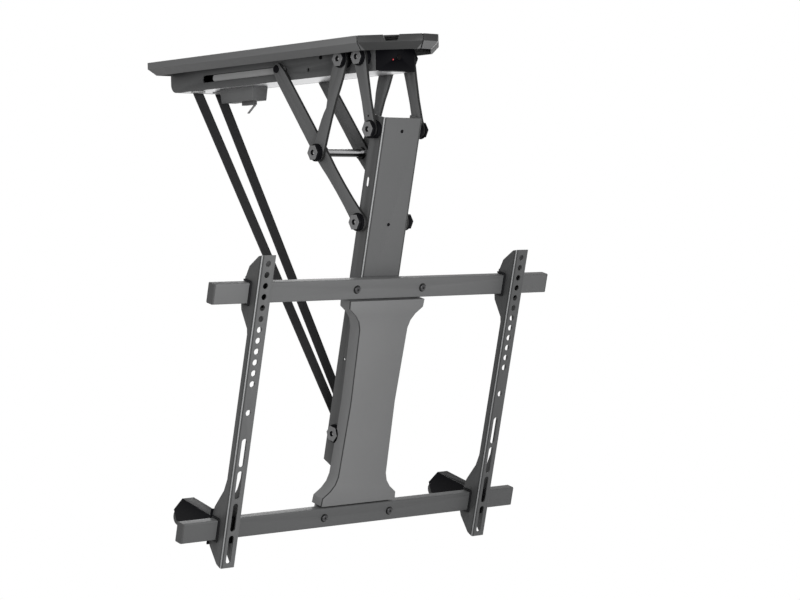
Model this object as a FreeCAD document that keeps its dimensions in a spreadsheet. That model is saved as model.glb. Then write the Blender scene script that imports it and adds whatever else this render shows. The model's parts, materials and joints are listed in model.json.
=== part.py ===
import FreeCAD, Part
import math
import os
from types import SimpleNamespace

import Sketcher
from FreeCAD import Placement, Rotation, Vector

# Motorised flip-down ceiling mount for a television, in millimetres.
# X runs along the rails, Y towards the back, Z up. The origin is the centre of the four ceiling bolts,
# on the face that meets the ceiling. The mount is modelled folded down, as it stands in use.

doc = FreeCAD.newDocument("tv_ceiling_mount")

# Driving sizes. Each row is an alias and a plain number in millimetres, or degrees for an angle.
DRIVING = [
    # Running and seating gaps
    ("fit_gap", 0.05),
    ("seat_gap", 0.3),
    # Folded steel tray against the ceiling: long sides, a pointed front and 45 degree lower lips
    ("tray_half_width", 80),
    ("tray_front", 264),
    ("tray_back", 264),
    ("nose_half_width", 15),
    ("nose_reach", 72),
    ("tray_sheet", 2),
    ("skirt_drop", 10.5),
    ("lip_drop", 10.5),
    ("lip_inset", 10),
    ("lip_relief", 1),
    ("corner_slit", 2),
    ("corner_slit_depth", 15),
    ("bolt_pitch_x", 114),
    ("bolt_pitch_y", 400),
    ("ceiling_hole_radius", 4.5),
    ("notch_width", 24),
    ("notch_drop", 9),
    ("notch_shoulder", 3),
    ("notch_reach", 8),
    ("notch_share", 0.52),
    # Channel that hangs under the tray and carries the drive
    ("channel_half_width", 37),
    ("channel_wall", 2.5),
    ("channel_front", 255),
    ("channel_back", 259),
    ("channel_bottom", 48.5),
    ("channel_rear_round", 14),
    ("slot_front", 45),
    ("slot_back", 173),
    ("slot_drop", 31.6),
    ("slot_height", 11.4),
    ("guide_front", 38),
    ("guide_back", 148),
    ("guide_height", 10),
    ("guide_thickness", 4),
    ("side_hole_y", -97),
    ("side_hole_drop", 36),
    ("side_hole_radius", 3),
    ("rivet_y", -128),
    ("rivet_drop", 20),
    ("rivet_radius", 3),
    ("rivet_head", 1.4),
    ("cover_thickness", 2),
    ("cap_thickness", 2.5),
    ("cap_plug", 10),
    ("lamp_x", -5.3),
    ("lamp_drop", 31.6),
    ("lamp_radius", 1.3),
    ("receiver_x", 6.5),
    ("receiver_drop", 27.5),
    ("receiver_radius", 4),
    ("lens_proud", 0.6),
    ("cable_hole_radius", 5),
    # Pivots in side view: distance behind the origin and below the ceiling
    ("crank_y", -189),
    ("crank_drop", 27),
    ("strut_y", -232),
    ("strut_drop", 27),
    ("slide_y", -28),
    ("slide_drop", 30.1),
    ("elbow_y", -129),
    ("elbow_drop", 163),
    ("knee_y", -216),
    ("knee_drop", 269.5),
    ("shoulder_y", -253),
    ("shoulder_drop", 134.5),
    # Links: layers outwards from the channel, widths and hole sizes
    ("arm_inner", 39),
    ("link_sheet", 4.5),
    ("layer_gap", 1),
    ("pivot_radius", 4),
    ("rod_radius", 6),
    ("head_height", 4.5),
    ("head_corner", 12.5),
    ("head_edge", 0.8),
    ("socket_radius", 4.2),
    ("socket_depth", 3),
    ("socket_core", 2.6),
    ("washer_radius", 13.5),
    ("elbow_washer", 4),
    ("knee_washer", 4.5),
    ("shoulder_washer", 1.5),
    ("channel_washer", 2.5),
    ("channel_washer_radius", 13.3),
    ("nut_radius", 7.5),
    ("nut_thickness", 5),
    ("arm_slide_radius", 9.5),
    ("arm_elbow_half", 14.5),
    ("arm_waist_half", 10.3),
    ("arm_knee_radius", 13.5),
    ("crank_end_radius", 13.5),
    ("crank_front_half", 11.5),
    ("crank_back_half", 9.2),
    ("strut_end_radius", 13.5),
    ("strut_waist_half", 11),
    ("strut_eye_radius", 1.8),
    ("strut_eye_offset", 20),
    ("slide_pin_radius", 3),
    ("slide_head_radius", 6),
    # Column: a folded channel, open at the back, hung at the knee
    ("column_tilt", 14.5),
    ("column_half_width", 37.5),
    ("column_wall", 2.5),
    ("column_front", 17),
    ("column_depth", 27),
    ("column_above", 160.4),
    ("column_below", 378),
    ("column_bend", 3),
    ("column_slot_up", 60.7),
    ("column_slot_back", 1),
    ("column_slot_length", 15),
    ("column_slot_radius", 3.2),
    ("column_hole_down", 209.5),
    ("column_hole_radius", 2.2),
    ("face_screw_radius", 2.6),
    ("face_screw_head", 0.8),
    # Lifting straps and their axle in the column
    ("strap_axle_down", 325),
    ("strap_axle_back", -7),
    ("strap_axle_radius", 6),
    ("axle_to_pan_bolts", 42.1),
    ("strap_sleeve_radius", 7.2),
    ("strap_loop_reach", 12),
    ("strap_tail_radius", 4),
    ("axle_head_radius", 14),
    ("axle_head_height", 4.5),
    ("strap_width", 17),
    ("strap_thickness", 1.8),
    ("strap_guide_y", 205.7),
    ("strap_guide_x", 22),
    ("strap_guide_drop", 3),
    ("strap_guide_half", 13),
    ("strap_guide_round", 7.5),
    ("strap_mouth_half", 9.2),
    ("strap_mouth_round", 3.5),
    ("strap_foot_x", 9.2),
    # Drive inside the channel
    ("spool_drop", 31),
    ("spool_shaft_radius", 5),
    ("spool_hub_radius", 8),
    ("spool_flange_radius", 14),
    ("spool_flange", 1.5),
    ("coil_radius", 12),
    ("bearing_radius", 9),
    ("bearing_thickness", 3),
    ("gearbox_half_width", 9),
    ("gearbox_length", 34),
    ("gearbox_top", 5),
    ("gearbox_bottom", 45.5),
    ("gearbox_round", 4),
    ("motor_drop", 25.5),
    ("motor_radius", 16),
    ("motor_length", 85),
    ("motor_round", 3),
    ("motor_boss_radius", 8),
    ("motor_boss", 3),
    ("board_front", 205),
    ("board_length", 70),
    ("board_half_width", 26),
    ("board_drop", 12),
    ("board_thickness", 1.6),
    ("board_part_height", 7),
    ("board_post_radius", 3),
    # Limit switch box under the channel
    ("box_front", 70),
    ("box_length", 86.5),
    ("box_half_width", 15.5),
    ("box_height", 22),
    ("box_taper", 4),
    ("switch_front", 84),
    ("switch_length", 30),
    ("switch_half_width", 4),
    ("switch_height", 6),
    ("lever_length", 20),
    ("lever_angle", 35),
    ("lever_half_width", 2.2),
    ("lever_thickness", 0.8),
    ("lever_barrel", 1.1),
    ("wire_radius", 1.4),
    ("wire_drop", 6),
    ("wire_bend", 6),
    # Plate that joins the column to the rails: a pan with an hourglass outline
    ("pan_depth", 24.4),
    ("pan_sheet", 2.5),
    ("pan_half_width", 72),
    ("pan_waist_half", 42.5),
    ("pan_neck_half", 46),
    ("pan_end_height", 14),
    ("pan_neck_height", 44),
    ("pan_gap", 3),
    ("pan_lip", 20),
    ("tab_height", 28),
    ("pan_bolt_x", 30),
    ("pan_bolt_radius", 3),
    ("pan_bolt_head", 5.5),
    ("pan_bolt_head_height", 3),
    ("pan_bolt_inset", 60),
    ("rail_screw_x", 64),
    ("rail_screw_radius", 3),
    ("rail_screw_head", 5),
    ("rail_screw_height", 2.6),
    ("rail_nut_thickness", 4),
    # Rails
    ("upper_rail_down", 92.1),
    ("rail_pitch", 353),
    ("rail_length", 650),
    ("rail_height", 30),
    ("rail_depth", 15),
    ("rail_wall", 2),
    ("rail_round", 2),
    ("rail_cap", 2),
    ("rail_plug", 12),
    # Screen arms: one sheet steel channel on each side that hooks over both rails
    ("left_arm_x", -249.5),
    ("right_arm_x", 244),
    ("screen_arm_half_width", 13),
    ("screen_arm_sheet", 2),
    ("screen_arm_bend", 2.5),
    ("screen_arm_stand", 17.7),
    ("screen_arm_above", 59.7),
    ("screen_arm_below", 52.7),
    ("liner_thickness", 3),
    ("liner_proud", 2),
    ("liner_round", 3),
    ("lip_gap", 0.5),
    ("saddle_cover", 3),
    ("first_hole_down", 12.8),
    ("hole_pitch", 16),
    ("hole_count", 12),
    ("screen_hole_radius", 4.5),
    ("lone_hole_down", 231.5),
    ("first_slot_down", 291.35),
    ("slot_pitch", 48.7),
    ("slot_count", 4),
    ("screen_slot_length", 42.5),
    # Stand-off foot behind each screen arm, round the lower rail
    ("foot_sheet", 2),
    ("foot_outer", 15.5),
    ("foot_inner", 5.5),
    ("foot_web_up", 19.5),
    ("foot_web_rise", 2.5),
    ("foot_web_back", 89.5),
    ("foot_corner_down", 3),
    ("foot_corner_back", 106.5),
    ("foot_edge_down", 17),
    ("foot_edge_back", 97),
    ("foot_flange_up", 27),
    ("foot_flange_down", 27),
    ("clamp_plate_over", 1),
    ("bumper_radius", 12),
    ("bumper_proud", 2.5),
    ("clamp_screw_radius", 1.5),
    ("clamp_screw_inset", 2.35),
    ("upper_saddle_half", 20),
    ("lower_saddle_half", 20),
    ("clamp_head_radius", 2.8),
    ("clamp_head_height", 2),
]

sheet = doc.addObject("Spreadsheet::Sheet", "Sizes")
for row, (alias, value) in enumerate(DRIVING, start=1):
    sheet.set(f"A{row}", alias)
    sheet.set(f"B{row}", str(value))
    sheet.setAlias(f"B{row}", alias)
doc.recompute()
S = SimpleNamespace(**{alias: float(sheet.get(alias)) for alias, _ in DRIVING})


# Outlines

def inset(points, distance):
    """The points of a closed counter-clockwise outline, moved inwards by a distance."""
    moved = []
    count = len(points)
    for index in range(count):
        before = Vector(*points[index - 1], 0)
        here = Vector(*points[index], 0)
        after = Vector(*points[(index + 1) % count], 0)
        first = (here - before).normalize()
        second = (after - here).normalize()
        normal_first = Vector(-first.y, first.x, 0)
        normal_second = Vector(-second.y, second.x, 0)
        bisector = (normal_first + normal_second).normalize()
        corner = here + bisector * (distance / bisector.dot(normal_first))
        moved.append((corner.x, corner.y))
    return moved


def rectangle(x0, y0, x1, y1, radius=0):
    return [(x0, y0, radius), (x1, y0, radius), (x1, y1, radius), (x0, y1, radius)]


def outline_edges(points):
    """Lines and corner arcs of a closed outline. A point may carry a corner radius."""
    corners = [(Vector(p[0], p[1], 0), p[2] if len(p) > 2 else 0) for p in points]
    ends = []
    arcs = []
    count = len(corners)
    for index in range(count):
        here, radius = corners[index]
        before = corners[index - 1][0]
        after = corners[(index + 1) % count][0]
        if radius <= 0:
            ends.append((here, here))
            arcs.append(None)
            continue
        back = (before - here).normalize()
        ahead = (after - here).normalize()
        half = back.getAngle(ahead) / 2
        trim = radius / math.tan(half)
        middle = here + (back + ahead).normalize() * (radius / math.sin(half) - radius)
        start = here + back * trim
        finish = here + ahead * trim
        ends.append((start, finish))
        arcs.append(Part.Arc(start, middle, finish))
    edges = []
    for index in range(count):
        if arcs[index]:
            edges.append(arcs[index])
        start = ends[index][1]
        finish = ends[(index + 1) % count][0]
        if start.distanceToPoint(finish) > 1e-6:
            edges.append(Part.LineSegment(start, finish))
    return edges


def slot_outline(x0, y0, x1, y1, radius):
    """A round-ended slot between two centres."""
    along = Vector(x1 - x0, y1 - y0, 0).normalize()
    side = Vector(-along.y, along.x, 0) * radius
    start = Vector(x0, y0, 0)
    finish = Vector(x1, y1, 0)
    return [
        Part.LineSegment(start - side, finish - side),
        Part.Arc(finish - side, finish + along * radius, finish + side),
        Part.LineSegment(finish + side, start + side),
        Part.Arc(start + side, start - along * radius, start - side),
    ]


def link_outline(length, start_radius, finish_radius, left, right):
    """A flat link along +X from the origin: round ends, and side points as share of length and half width."""
    begin_left = (0, start_radius)
    begin_right = (0, -start_radius)
    left_run = [begin_left] + [(share * length, half) for share, half in left] + [(length, finish_radius)]
    right_run = [begin_right]
    right_run += [(share * length, -half) for share, half in right] + [(length, -finish_radius)]
    edges = [Part.Arc(Vector(*left_run[0], 0), Vector(-start_radius, 0, 0), Vector(*right_run[0], 0))]
    for run in (right_run,):
        edges += [Part.LineSegment(Vector(*a, 0), Vector(*b, 0)) for a, b in zip(run, run[1:])]
    tip = Vector(length + finish_radius, 0, 0)
    edges.append(Part.Arc(Vector(*right_run[-1], 0), tip, Vector(*left_run[-1], 0)))
    back = left_run[::-1]
    edges += [Part.LineSegment(Vector(*a, 0), Vector(*b, 0)) for a, b in zip(back, back[1:])]
    return edges


# Piece builders

PIECES = []


def keep(feature, label):
    """Names a finished sub-part, which is then written to its own file."""
    feature.Label = label
    PIECES.append(feature)
    return feature


def turned_about_x(x, y, z, angle=0):
    return Placement(Vector(x, y, z), Rotation(Vector(1, 0, 0), angle))


class Solid:
    """A PartDesign body that grows by pads, lofts, revolutions and pockets on its own origin planes."""

    def __init__(self, name, placement=None):
        self.body = doc.addObject("PartDesign::Body", name)
        if placement:
            self.body.Placement = placement

    def sketch(self, plane, offset, loops=(), circles=()):
        sketch = self.body.newObject("Sketcher::SketchObject", self.body.Name + "_sketch")
        planes = {item.Role: item for item in self.body.Origin.OriginFeatures}
        sketch.AttachmentSupport = [(planes[plane], "")]
        sketch.MapMode = "FlatFace"
        sketch.AttachmentOffset = Placement(Vector(0, 0, offset), Rotation())
        for loop in loops:
            edges = loop if not isinstance(loop[0], tuple) else outline_edges(loop)
            sketch.addGeometry(edges, False)
        for x, y, radius in circles:
            index = sketch.addGeometry(Part.Circle(Vector(x, y, 0), Vector(0, 0, 1), 1), False)
            number = sketch.addConstraint(Sketcher.Constraint("Radius", index, 1))
            sketch.addConstraint(Sketcher.Constraint("DistanceX", -1, 1, index, 3, x))
            sketch.addConstraint(Sketcher.Constraint("DistanceY", -1, 1, index, 3, y))
            sketch.setExpression(f"Constraints[{number}]", radius)
        return sketch

    def pad(self, plane, offset, length, loops=(), circles=()):
        profile = self.sketch(plane, offset, loops, circles)
        feature = self.body.newObject("PartDesign::Pad", self.body.Name + "_pad")
        feature.Profile = profile
        feature.setExpression("Length", length)
        doc.recompute()
        return self

    def pocket(self, plane, offset, length, loops=(), circles=()):
        before = self.body.Shape.Volume
        profile = self.sketch(plane, offset, loops, circles)
        feature = self.body.newObject("PartDesign::Pocket", self.body.Name + "_pocket")
        feature.Profile = profile
        feature.setExpression("Length", length)
        doc.recompute()
        if not self.body.Shape.Volume < before:
            raise RuntimeError(f"{feature.Name} cuts nothing")
        return self

    def loft(self, kind, sections):
        """kind is Additive or Subtractive. sections are pairs of height and outline on the XY plane."""
        sketches = [self.sketch("XY_Plane", height, [points]) for height, points in sections]
        feature = self.body.newObject(f"PartDesign::{kind}Loft", self.body.Name + "_loft")
        feature.Profile = sketches[0]
        feature.Sections = sketches[1:]
        feature.Ruled = True
        doc.recompute()
        return self

    def revolve(self, points):
        """A profile of x and radius, turned about the piece's own X axis."""
        profile = self.sketch("XY_Plane", 0, [points])
        feature = self.body.newObject("PartDesign::Revolution", self.body.Name + "_turn")
        feature.Profile = profile
        feature.ReferenceAxis = (profile, ["H_Axis"])
        feature.Angle = 360
        doc.recompute()
        return self

    def keep(self, label):
        keep(self.body, label)
        return self.body


def mirrored(source, name):
    feature = doc.addObject("Part::Mirroring", name)
    feature.Source = source
    feature.Base = Vector(0, 0, 0)
    feature.Normal = Vector(1, 0, 0)
    return feature


def group(name, features):
    feature = doc.addObject("Part::Compound", name)
    feature.Links = features
    return keep(feature, name)


def pair(name, right):
    """The right-hand feature and its mirror image, as one node of two separate solids."""
    return group(name, [right, mirrored(right, name + "_left")])


def ring(name, x0, x1, inner, outer, y, z, placement=None):
    """A washer, bush or sleeve on a cross axis."""
    at = (placement or Placement()).multiply(turned_about_x(0, y, z))
    piece = Solid(name, at)
    piece.revolve([(x0, inner), (x1, inner), (x1, outer), (x0, outer)])
    return piece.body


def hexagon(radius, first=30):
    corners = [math.radians(first + 60 * step) for step in range(6)]
    return [(radius * math.cos(angle), radius * math.sin(angle)) for angle in corners]


def rounded(body, name, chosen, radius):
    """Rounds the edges of a body's latest shape whose two ends both pass a test."""
    tip = body.Tip
    edges = []
    for number, edge in enumerate(tip.Shape.Edges, start=1):
        ends = [vertex.Point for vertex in edge.Vertexes]
        if len(ends) == 2 and chosen(*ends):
            edges.append(f"Edge{number}")
    fillet = body.newObject("PartDesign::Fillet", name)
    fillet.Base = (tip, edges)
    fillet.setExpression("Radius", radius)
    doc.recompute()


def socket_bolt(name, face, seat, end, y, z, shank, placement=None):
    """A bolt on a cross axis, its hexagonal head outwards, with a round recess over a hexagon socket."""
    at = (placement or Placement()).multiply(turned_about_x(0, y, z))
    piece = Solid(name, at)
    piece.pad("YZ_Plane", seat, f"{face - seat}", [hexagon(S.head_corner, 0)])
    rounded(
        piece.body, name + "_rim", lambda a, b: abs(a.x - face) < 1e-6 and abs(b.x - face) < 1e-6,
        "Sizes.head_edge",
    )
    neck = seat + 1
    piece.revolve([(end, 0), (neck, 0), (neck, shank), (end, shank)])
    piece.pocket("YZ_Plane", face, "Sizes.socket_depth", circles=[(0, 0, "Sizes.socket_radius")])
    piece.pocket("YZ_Plane", face, "1.6 * Sizes.socket_depth", [hexagon(S.socket_core)])
    return piece.body


# Places worked out from the driving sizes

tray_depth = S.skirt_drop + S.lip_drop
channel_inner = S.channel_half_width - S.channel_wall
channel_top = S.tray_sheet
arm_outer = S.arm_inner + S.link_sheet
link_inner = arm_outer + S.layer_gap
link_outer = link_inner + S.link_sheet
knee = turned_about_x(0, S.knee_y, -S.knee_drop, S.column_tilt)
column_inner = S.column_half_width - S.column_wall
clamp_face = S.rail_depth + S.fit_gap
column_back = S.column_depth - S.column_front
rear_cap_face = S.channel_back - S.channel_rear_round
rail_front = -S.column_front - S.pan_depth
rail_back = rail_front + S.rail_depth
upper_rail_z = -S.upper_rail_down
lower_rail_z = upper_rail_z - S.rail_pitch
shoulder_in_column = knee.inverse().multVec(Vector(0, S.shoulder_y, -S.shoulder_drop))


# Ceiling tray

def tray_plan():
    front = -S.tray_front
    return [
        (-S.tray_half_width, S.tray_back),
        (-S.tray_half_width, front),
        (-S.nose_half_width, front - S.nose_reach),
        (S.nose_half_width, front - S.nose_reach),
        (S.tray_half_width, front),
        (S.tray_half_width, S.tray_back),
    ]


def corner_slits(plan):
    """A thin slit at each folded corner of the tray, along the corner's bisector."""
    deep = inset(plan, S.corner_slit_depth)
    slits = []
    for outer, inner in zip(plan, deep):
        start = Vector(*outer, 0)
        inward = (Vector(*inner, 0) - start).normalize()
        start = start - inward * S.corner_slit_depth / 3
        finish = start + inward * S.corner_slit_depth * 1.3
        side = Vector(-inward.y, inward.x, 0) * (S.corner_slit / 2)
        corners = [start - side, finish - side, finish + side, start + side]
        slits.append([(corner.x, corner.y) for corner in corners])
    return slits


def make_tray():
    plan = tray_plan()
    lip_low = inset(plan, S.lip_inset)
    tray = Solid("tray_sheet_metal")
    tray.pad("XY_Plane", -S.skirt_drop, "Sizes.skirt_drop", [plan])
    tray.loft("Additive", [(-S.skirt_drop, plan), (-tray_depth, lip_low)])
    inner = inset(plan, S.tray_sheet)
    tray.pocket("XY_Plane", -S.tray_sheet, "Sizes.skirt_drop - Sizes.tray_sheet", [inner])
    tray.loft("Subtractive", [(-S.skirt_drop, inner), (-tray_depth, inset(lip_low, S.tray_sheet))])
    tray.pocket("XY_Plane", 0, "Sizes.skirt_drop + Sizes.lip_drop", corner_slits(plan))
    # The rear lip is cut away where the channel passes
    wide = S.channel_half_width + S.lip_relief
    deep = S.tray_back - S.lip_inset - S.tray_sheet - S.lip_relief
    tray.pocket(
        "XY_Plane", -S.skirt_drop, "Sizes.lip_drop + Sizes.lip_relief",
        [rectangle(-wide, deep, wide, S.tray_back + S.lip_relief)],
    )
    holes = []
    for side in (-1, 1):
        for end in (-1, 1):
            holes.append((side * S.bolt_pitch_x / 2, end * S.bolt_pitch_y / 2, "Sizes.ceiling_hole_radius"))
    tray.pocket("XY_Plane", 0, "Sizes.tray_sheet", circles=holes)
    # Cable notch in the top edge of the left nose facet
    facet_start = Vector(-S.tray_half_width, -S.tray_front, 0)
    facet_end = Vector(-S.nose_half_width, -S.tray_front - S.nose_reach, 0)
    facet = facet_end - facet_start
    turn = math.degrees(math.atan2(facet.y, facet.x))
    middle = facet_start + facet * S.notch_share
    notch = doc.addObject("Part::Wedge", "cable_notch")
    half = S.notch_width / 2
    notch.Xmin, notch.Xmax = -half, half
    notch.X2min, notch.X2max = -half + S.notch_shoulder, half - S.notch_shoulder
    notch.Ymin, notch.Ymax = 0, S.notch_drop
    notch.Zmin, notch.Zmax = -S.notch_reach, S.notch_reach
    notch.Z2min, notch.Z2max = -S.notch_reach, S.notch_reach
    notch.Placement = Placement(middle, Rotation(Vector(0, 0, 1), turn) * Rotation(Vector(1, 0, 0), -90))
    cut = doc.addObject("Part::Cut", "ceiling_tray")
    cut.Base = tray.body
    cut.Tool = notch
    keep(cut, "ceiling_tray")


# Channel and what closes it

def make_channel():
    channel = Solid("channel_body")
    side = [
        (-S.channel_front, -channel_top),
        (-S.channel_front, -S.channel_bottom),
        (S.channel_back, -S.channel_bottom, S.channel_rear_round),
        (S.channel_back, -channel_top),
    ]
    channel.pad("YZ_Plane", -S.channel_half_width, "2 * Sizes.channel_half_width", [side])
    hollow = rectangle(-channel_inner, -S.channel_front - 1, channel_inner, S.channel_back + 1)
    channel.pocket(
        "XY_Plane", -channel_top - S.channel_wall,
        "Sizes.channel_bottom - Sizes.tray_sheet", [hollow],
    )
    radius = S.slot_height / 2
    slot = slot_outline(-S.slot_front + radius, -S.slot_drop, S.slot_back - radius, -S.slot_drop, radius)
    holes = [
        (S.crank_y, -S.crank_drop, "Sizes.pivot_radius"),
        (S.strut_y, -S.strut_drop, "Sizes.pivot_radius"),
        (S.side_hole_y, -S.side_hole_drop, "Sizes.side_hole_radius"),
    ]
    channel.pocket(
        "YZ_Plane", S.channel_half_width + 1, "2 * Sizes.channel_half_width + 2", [slot], holes,
    )
    channel.keep("channel")


def make_bottom_cover():
    cover = Solid("cover_body")
    edge = channel_inner - S.seat_gap
    front = -S.channel_front + S.cap_plug + S.seat_gap
    back = rear_cap_face - S.cap_plug - S.seat_gap
    mouths = []
    for side in (-1, 1):
        x = side * S.strap_guide_x
        half = S.strap_width / 2 + 2
        mouths.append(rectangle(x - half, S.strap_guide_y - 5, x + half, S.strap_guide_y + 5, 3))
    cover.pad(
        "XY_Plane", -S.channel_bottom, "Sizes.cover_thickness",
        [rectangle(-edge, front, edge, back)] + mouths,
    )
    cover.keep("bottom_cover")


def cap_plug_outlines(wall=None):
    """The end plug of the channel: its outline, and that of its hollow if it has a wall."""
    edge = channel_inner - S.fit_gap
    top = -channel_top - S.channel_wall - S.fit_gap
    outer = rectangle(-edge, -S.channel_bottom, edge, top)
    if wall is None:
        return [outer]
    return [outer, rectangle(-edge + wall, -S.channel_bottom + wall, edge - wall, top - wall)]


def make_caps():
    front = Solid("front_cap_body")
    face = rectangle(-S.channel_half_width, -S.channel_bottom, S.channel_half_width, -channel_top - 1, 1.5)
    front.pad("XZ_Plane", S.channel_front, "Sizes.cap_thickness", [face], [
        (S.lamp_x, -S.lamp_drop, "Sizes.lamp_radius"),
        (S.receiver_x, -S.receiver_drop, "Sizes.receiver_radius"),
    ])
    front.pad(
        "XZ_Plane", S.channel_front - S.cap_plug, "Sizes.cap_plug", cap_plug_outlines(S.cap_thickness),
    )
    front.keep("front_cap")
    rear = Solid("rear_cap_body")
    rear.pad("XZ_Plane", -rear_cap_face, "Sizes.cap_plug", cap_plug_outlines(), [
        (0, -S.channel_bottom / 2, "Sizes.cable_hole_radius"),
    ])
    rear.keep("rear_cap")


def make_lens(name, x, drop, radius):
    """A domed lens in the front cap."""
    at = Placement(Vector(x, -S.channel_front, -drop), Rotation(Vector(0, 0, 1), -90))
    piece = Solid(name + "_body", at)
    face = S.cap_thickness + S.lens_proud
    edge = radius - S.fit_gap
    piece.revolve([(-2, 0), (face, 0), (face, edge, S.lens_proud * 0.8), (-2, edge)])
    piece.keep(name)


def make_guides_and_rivets():
    bar = Solid("guide_bar_body")
    half = S.guide_height / 2
    outline = [
        (-S.guide_front, -S.slot_drop - half),
        (S.guide_back, -S.slot_drop - half, half * 0.99),
        (S.guide_back, -S.slot_drop + half, half * 0.99),
        (-S.guide_front, -S.slot_drop + half),
    ]
    bar.pad("YZ_Plane", channel_inner - S.guide_thickness, "Sizes.guide_thickness", [outline])
    pair("guide_bars", bar.body)
    rivet = Solid("side_rivet_body", turned_about_x(0, S.rivet_y, -S.rivet_drop))
    face = S.channel_half_width + S.rivet_head
    rivet.revolve([
        (S.channel_half_width, 0), (face, 0), (face, S.rivet_radius, S.rivet_head * 0.8),
        (S.channel_half_width, S.rivet_radius),
    ])
    pair("side_rivets", rivet.body)


# Drive inside the channel

spool_y = S.strap_guide_y + S.coil_radius
spool_z = -S.spool_drop


def make_drive():
    box = Solid("gearbox_body")
    front = spool_y - S.gearbox_length / 2
    outline = rectangle(front, -S.gearbox_bottom, front + S.gearbox_length, -S.gearbox_top, S.gearbox_round)
    box.pad("YZ_Plane", -S.gearbox_half_width, "2 * Sizes.gearbox_half_width", [outline], [
        (spool_y, spool_z, "Sizes.spool_shaft_radius + Sizes.fit_gap"),
    ])
    box.keep("gearbox")
    at = Placement(Vector(0, front, -S.motor_drop), Rotation(Vector(0, 0, 1), -90))
    motor = Solid("motor_body", at)
    start = S.motor_boss
    end = start + S.motor_length
    motor.revolve([
        (0, 0), (end, 0), (end, S.motor_boss_radius), (end - 2, S.motor_boss_radius),
        (end - 2, S.motor_radius, S.motor_round), (start, S.motor_radius), (start, S.motor_boss_radius),
        (0, S.motor_boss_radius),
    ])
    motor.keep("motor")
    tip = channel_inner - S.seat_gap
    keep(ring("spool_shaft_body", -tip, tip, 0, S.spool_shaft_radius, spool_y, spool_z), "spool_shaft")
    half = S.strap_mouth_half
    inner = S.strap_guide_x - half
    outer = S.strap_guide_x + half
    drum = Solid("spool_drum_body", turned_about_x(0, spool_y, spool_z))
    drum.revolve([
        (inner - S.spool_flange, S.spool_shaft_radius),
        (outer, S.spool_shaft_radius),
        (outer, S.spool_hub_radius),
        (inner, S.spool_hub_radius),
        (inner, S.spool_flange_radius),
        (inner - S.spool_flange, S.spool_flange_radius),
    ])
    pair("spool_drums", drum.body)
    strap_half = S.strap_width / 2
    pair("strap_coils", ring(
        "strap_coil_body", S.strap_guide_x - strap_half, S.strap_guide_x + strap_half,
        S.spool_hub_radius, S.coil_radius, spool_y, spool_z,
    ))
    pair("spool_bearings", ring(
        "spool_bearing_body", channel_inner - S.bearing_thickness, channel_inner,
        S.spool_shaft_radius + S.fit_gap, S.bearing_radius, spool_y, spool_z,
    ))


def make_board():
    board = Solid("board_body")
    front = -S.board_front
    back = front + S.board_length
    half = S.board_half_width
    board.pad("XY_Plane", -S.board_drop, "Sizes.board_thickness", [rectangle(-half, front, half, back, 2)])
    top = S.board_drop - S.board_thickness - channel_top - S.channel_wall
    posts = []
    for x in (-half + 5, half - 5):
        for y in (front + 5, back - 5):
            posts.append((x, y, "Sizes.board_post_radius"))
    board.pad("XY_Plane", -channel_top - S.channel_wall - top, f"{top}", circles=posts)
    blocks = [
        rectangle(-half + 8, front + 14, -half + 22, front + 32),
        rectangle(half - 24, front + 14, half - 10, front + 24),
        rectangle(-6, back - 26, 12, back - 12),
    ]
    cans = [
        (half - 10, back - 24, "Sizes.board_post_radius + 2"),
        (-half + 12, back - 24, "Sizes.board_post_radius + 1"),
    ]
    height = "Sizes.board_part_height"
    board.pad("XY_Plane", -S.board_drop - S.board_part_height, height, blocks, cans)
    board.keep("control_board")


# Switch box under the channel

def make_switch_box():
    box = Solid("switch_box_body")
    top = -S.channel_bottom
    low = top - S.box_height
    back = S.box_front + S.box_length
    half = S.box_half_width
    taper = S.box_taper / 2
    upper = rectangle(-half, S.box_front, half, back)
    lower = rectangle(-half + taper, S.box_front + taper, half - taper, back - taper)
    box.loft("Additive", [(top, upper), (low, lower)])
    box.keep("switch_box")
    switch = Solid("limit_switch_body")
    wide = S.switch_half_width
    start = S.switch_front
    switch.pad(
        "XY_Plane", low - S.switch_height, "Sizes.switch_height",
        [rectangle(-wide, start, wide, start + S.switch_length, 0.8)],
    )
    switch.keep("limit_switch")
    hinge_z = low - S.switch_height - S.lever_barrel - S.seat_gap
    lever = Solid("lever_body", turned_about_x(0, start + 2, hinge_z, -S.lever_angle))
    lever.pad(
        "XY_Plane", -S.lever_thickness / 2, "Sizes.lever_thickness",
        [rectangle(-S.lever_half_width, 0, S.lever_half_width, S.lever_length, 0.6)],
    )
    lever.pad("YZ_Plane", -S.lever_half_width, "2 * Sizes.lever_half_width", circles=[
        (0, 0, "Sizes.lever_barrel"),
    ])
    lever.keep("switch_lever")
    # Short wire from the back of the box up into the channel
    wire = Solid("switch_wire_body")
    start_y = back - taper * (S.wire_drop - S.wire_radius) / S.box_height + S.fit_gap
    run = S.wire_bend / 2
    level = top - S.wire_drop
    wire.sketch("XZ_Plane", -start_y, circles=[(0, level, "Sizes.wire_radius")])
    section = wire.body.Group[-1]
    centre = Vector(start_y + run, level + S.wire_bend, 0)
    bend_low = Vector(start_y + run, level, 0)
    bend_high = Vector(start_y + run + S.wire_bend, level + S.wire_bend, 0)
    middle = centre + Vector(1, -1, 0).normalize() * S.wire_bend
    path = wire.sketch("YZ_Plane", 0, [[
        Part.LineSegment(Vector(start_y, level, 0), bend_low),
        Part.Arc(bend_low, middle, bend_high),
    ]])
    pipe = wire.body.newObject("PartDesign::AdditivePipe", "wire_pipe")
    pipe.Profile = section
    pipe.Spine = path
    doc.recompute()
    wire.keep("switch_wire")


# Pivots on the channel

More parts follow.
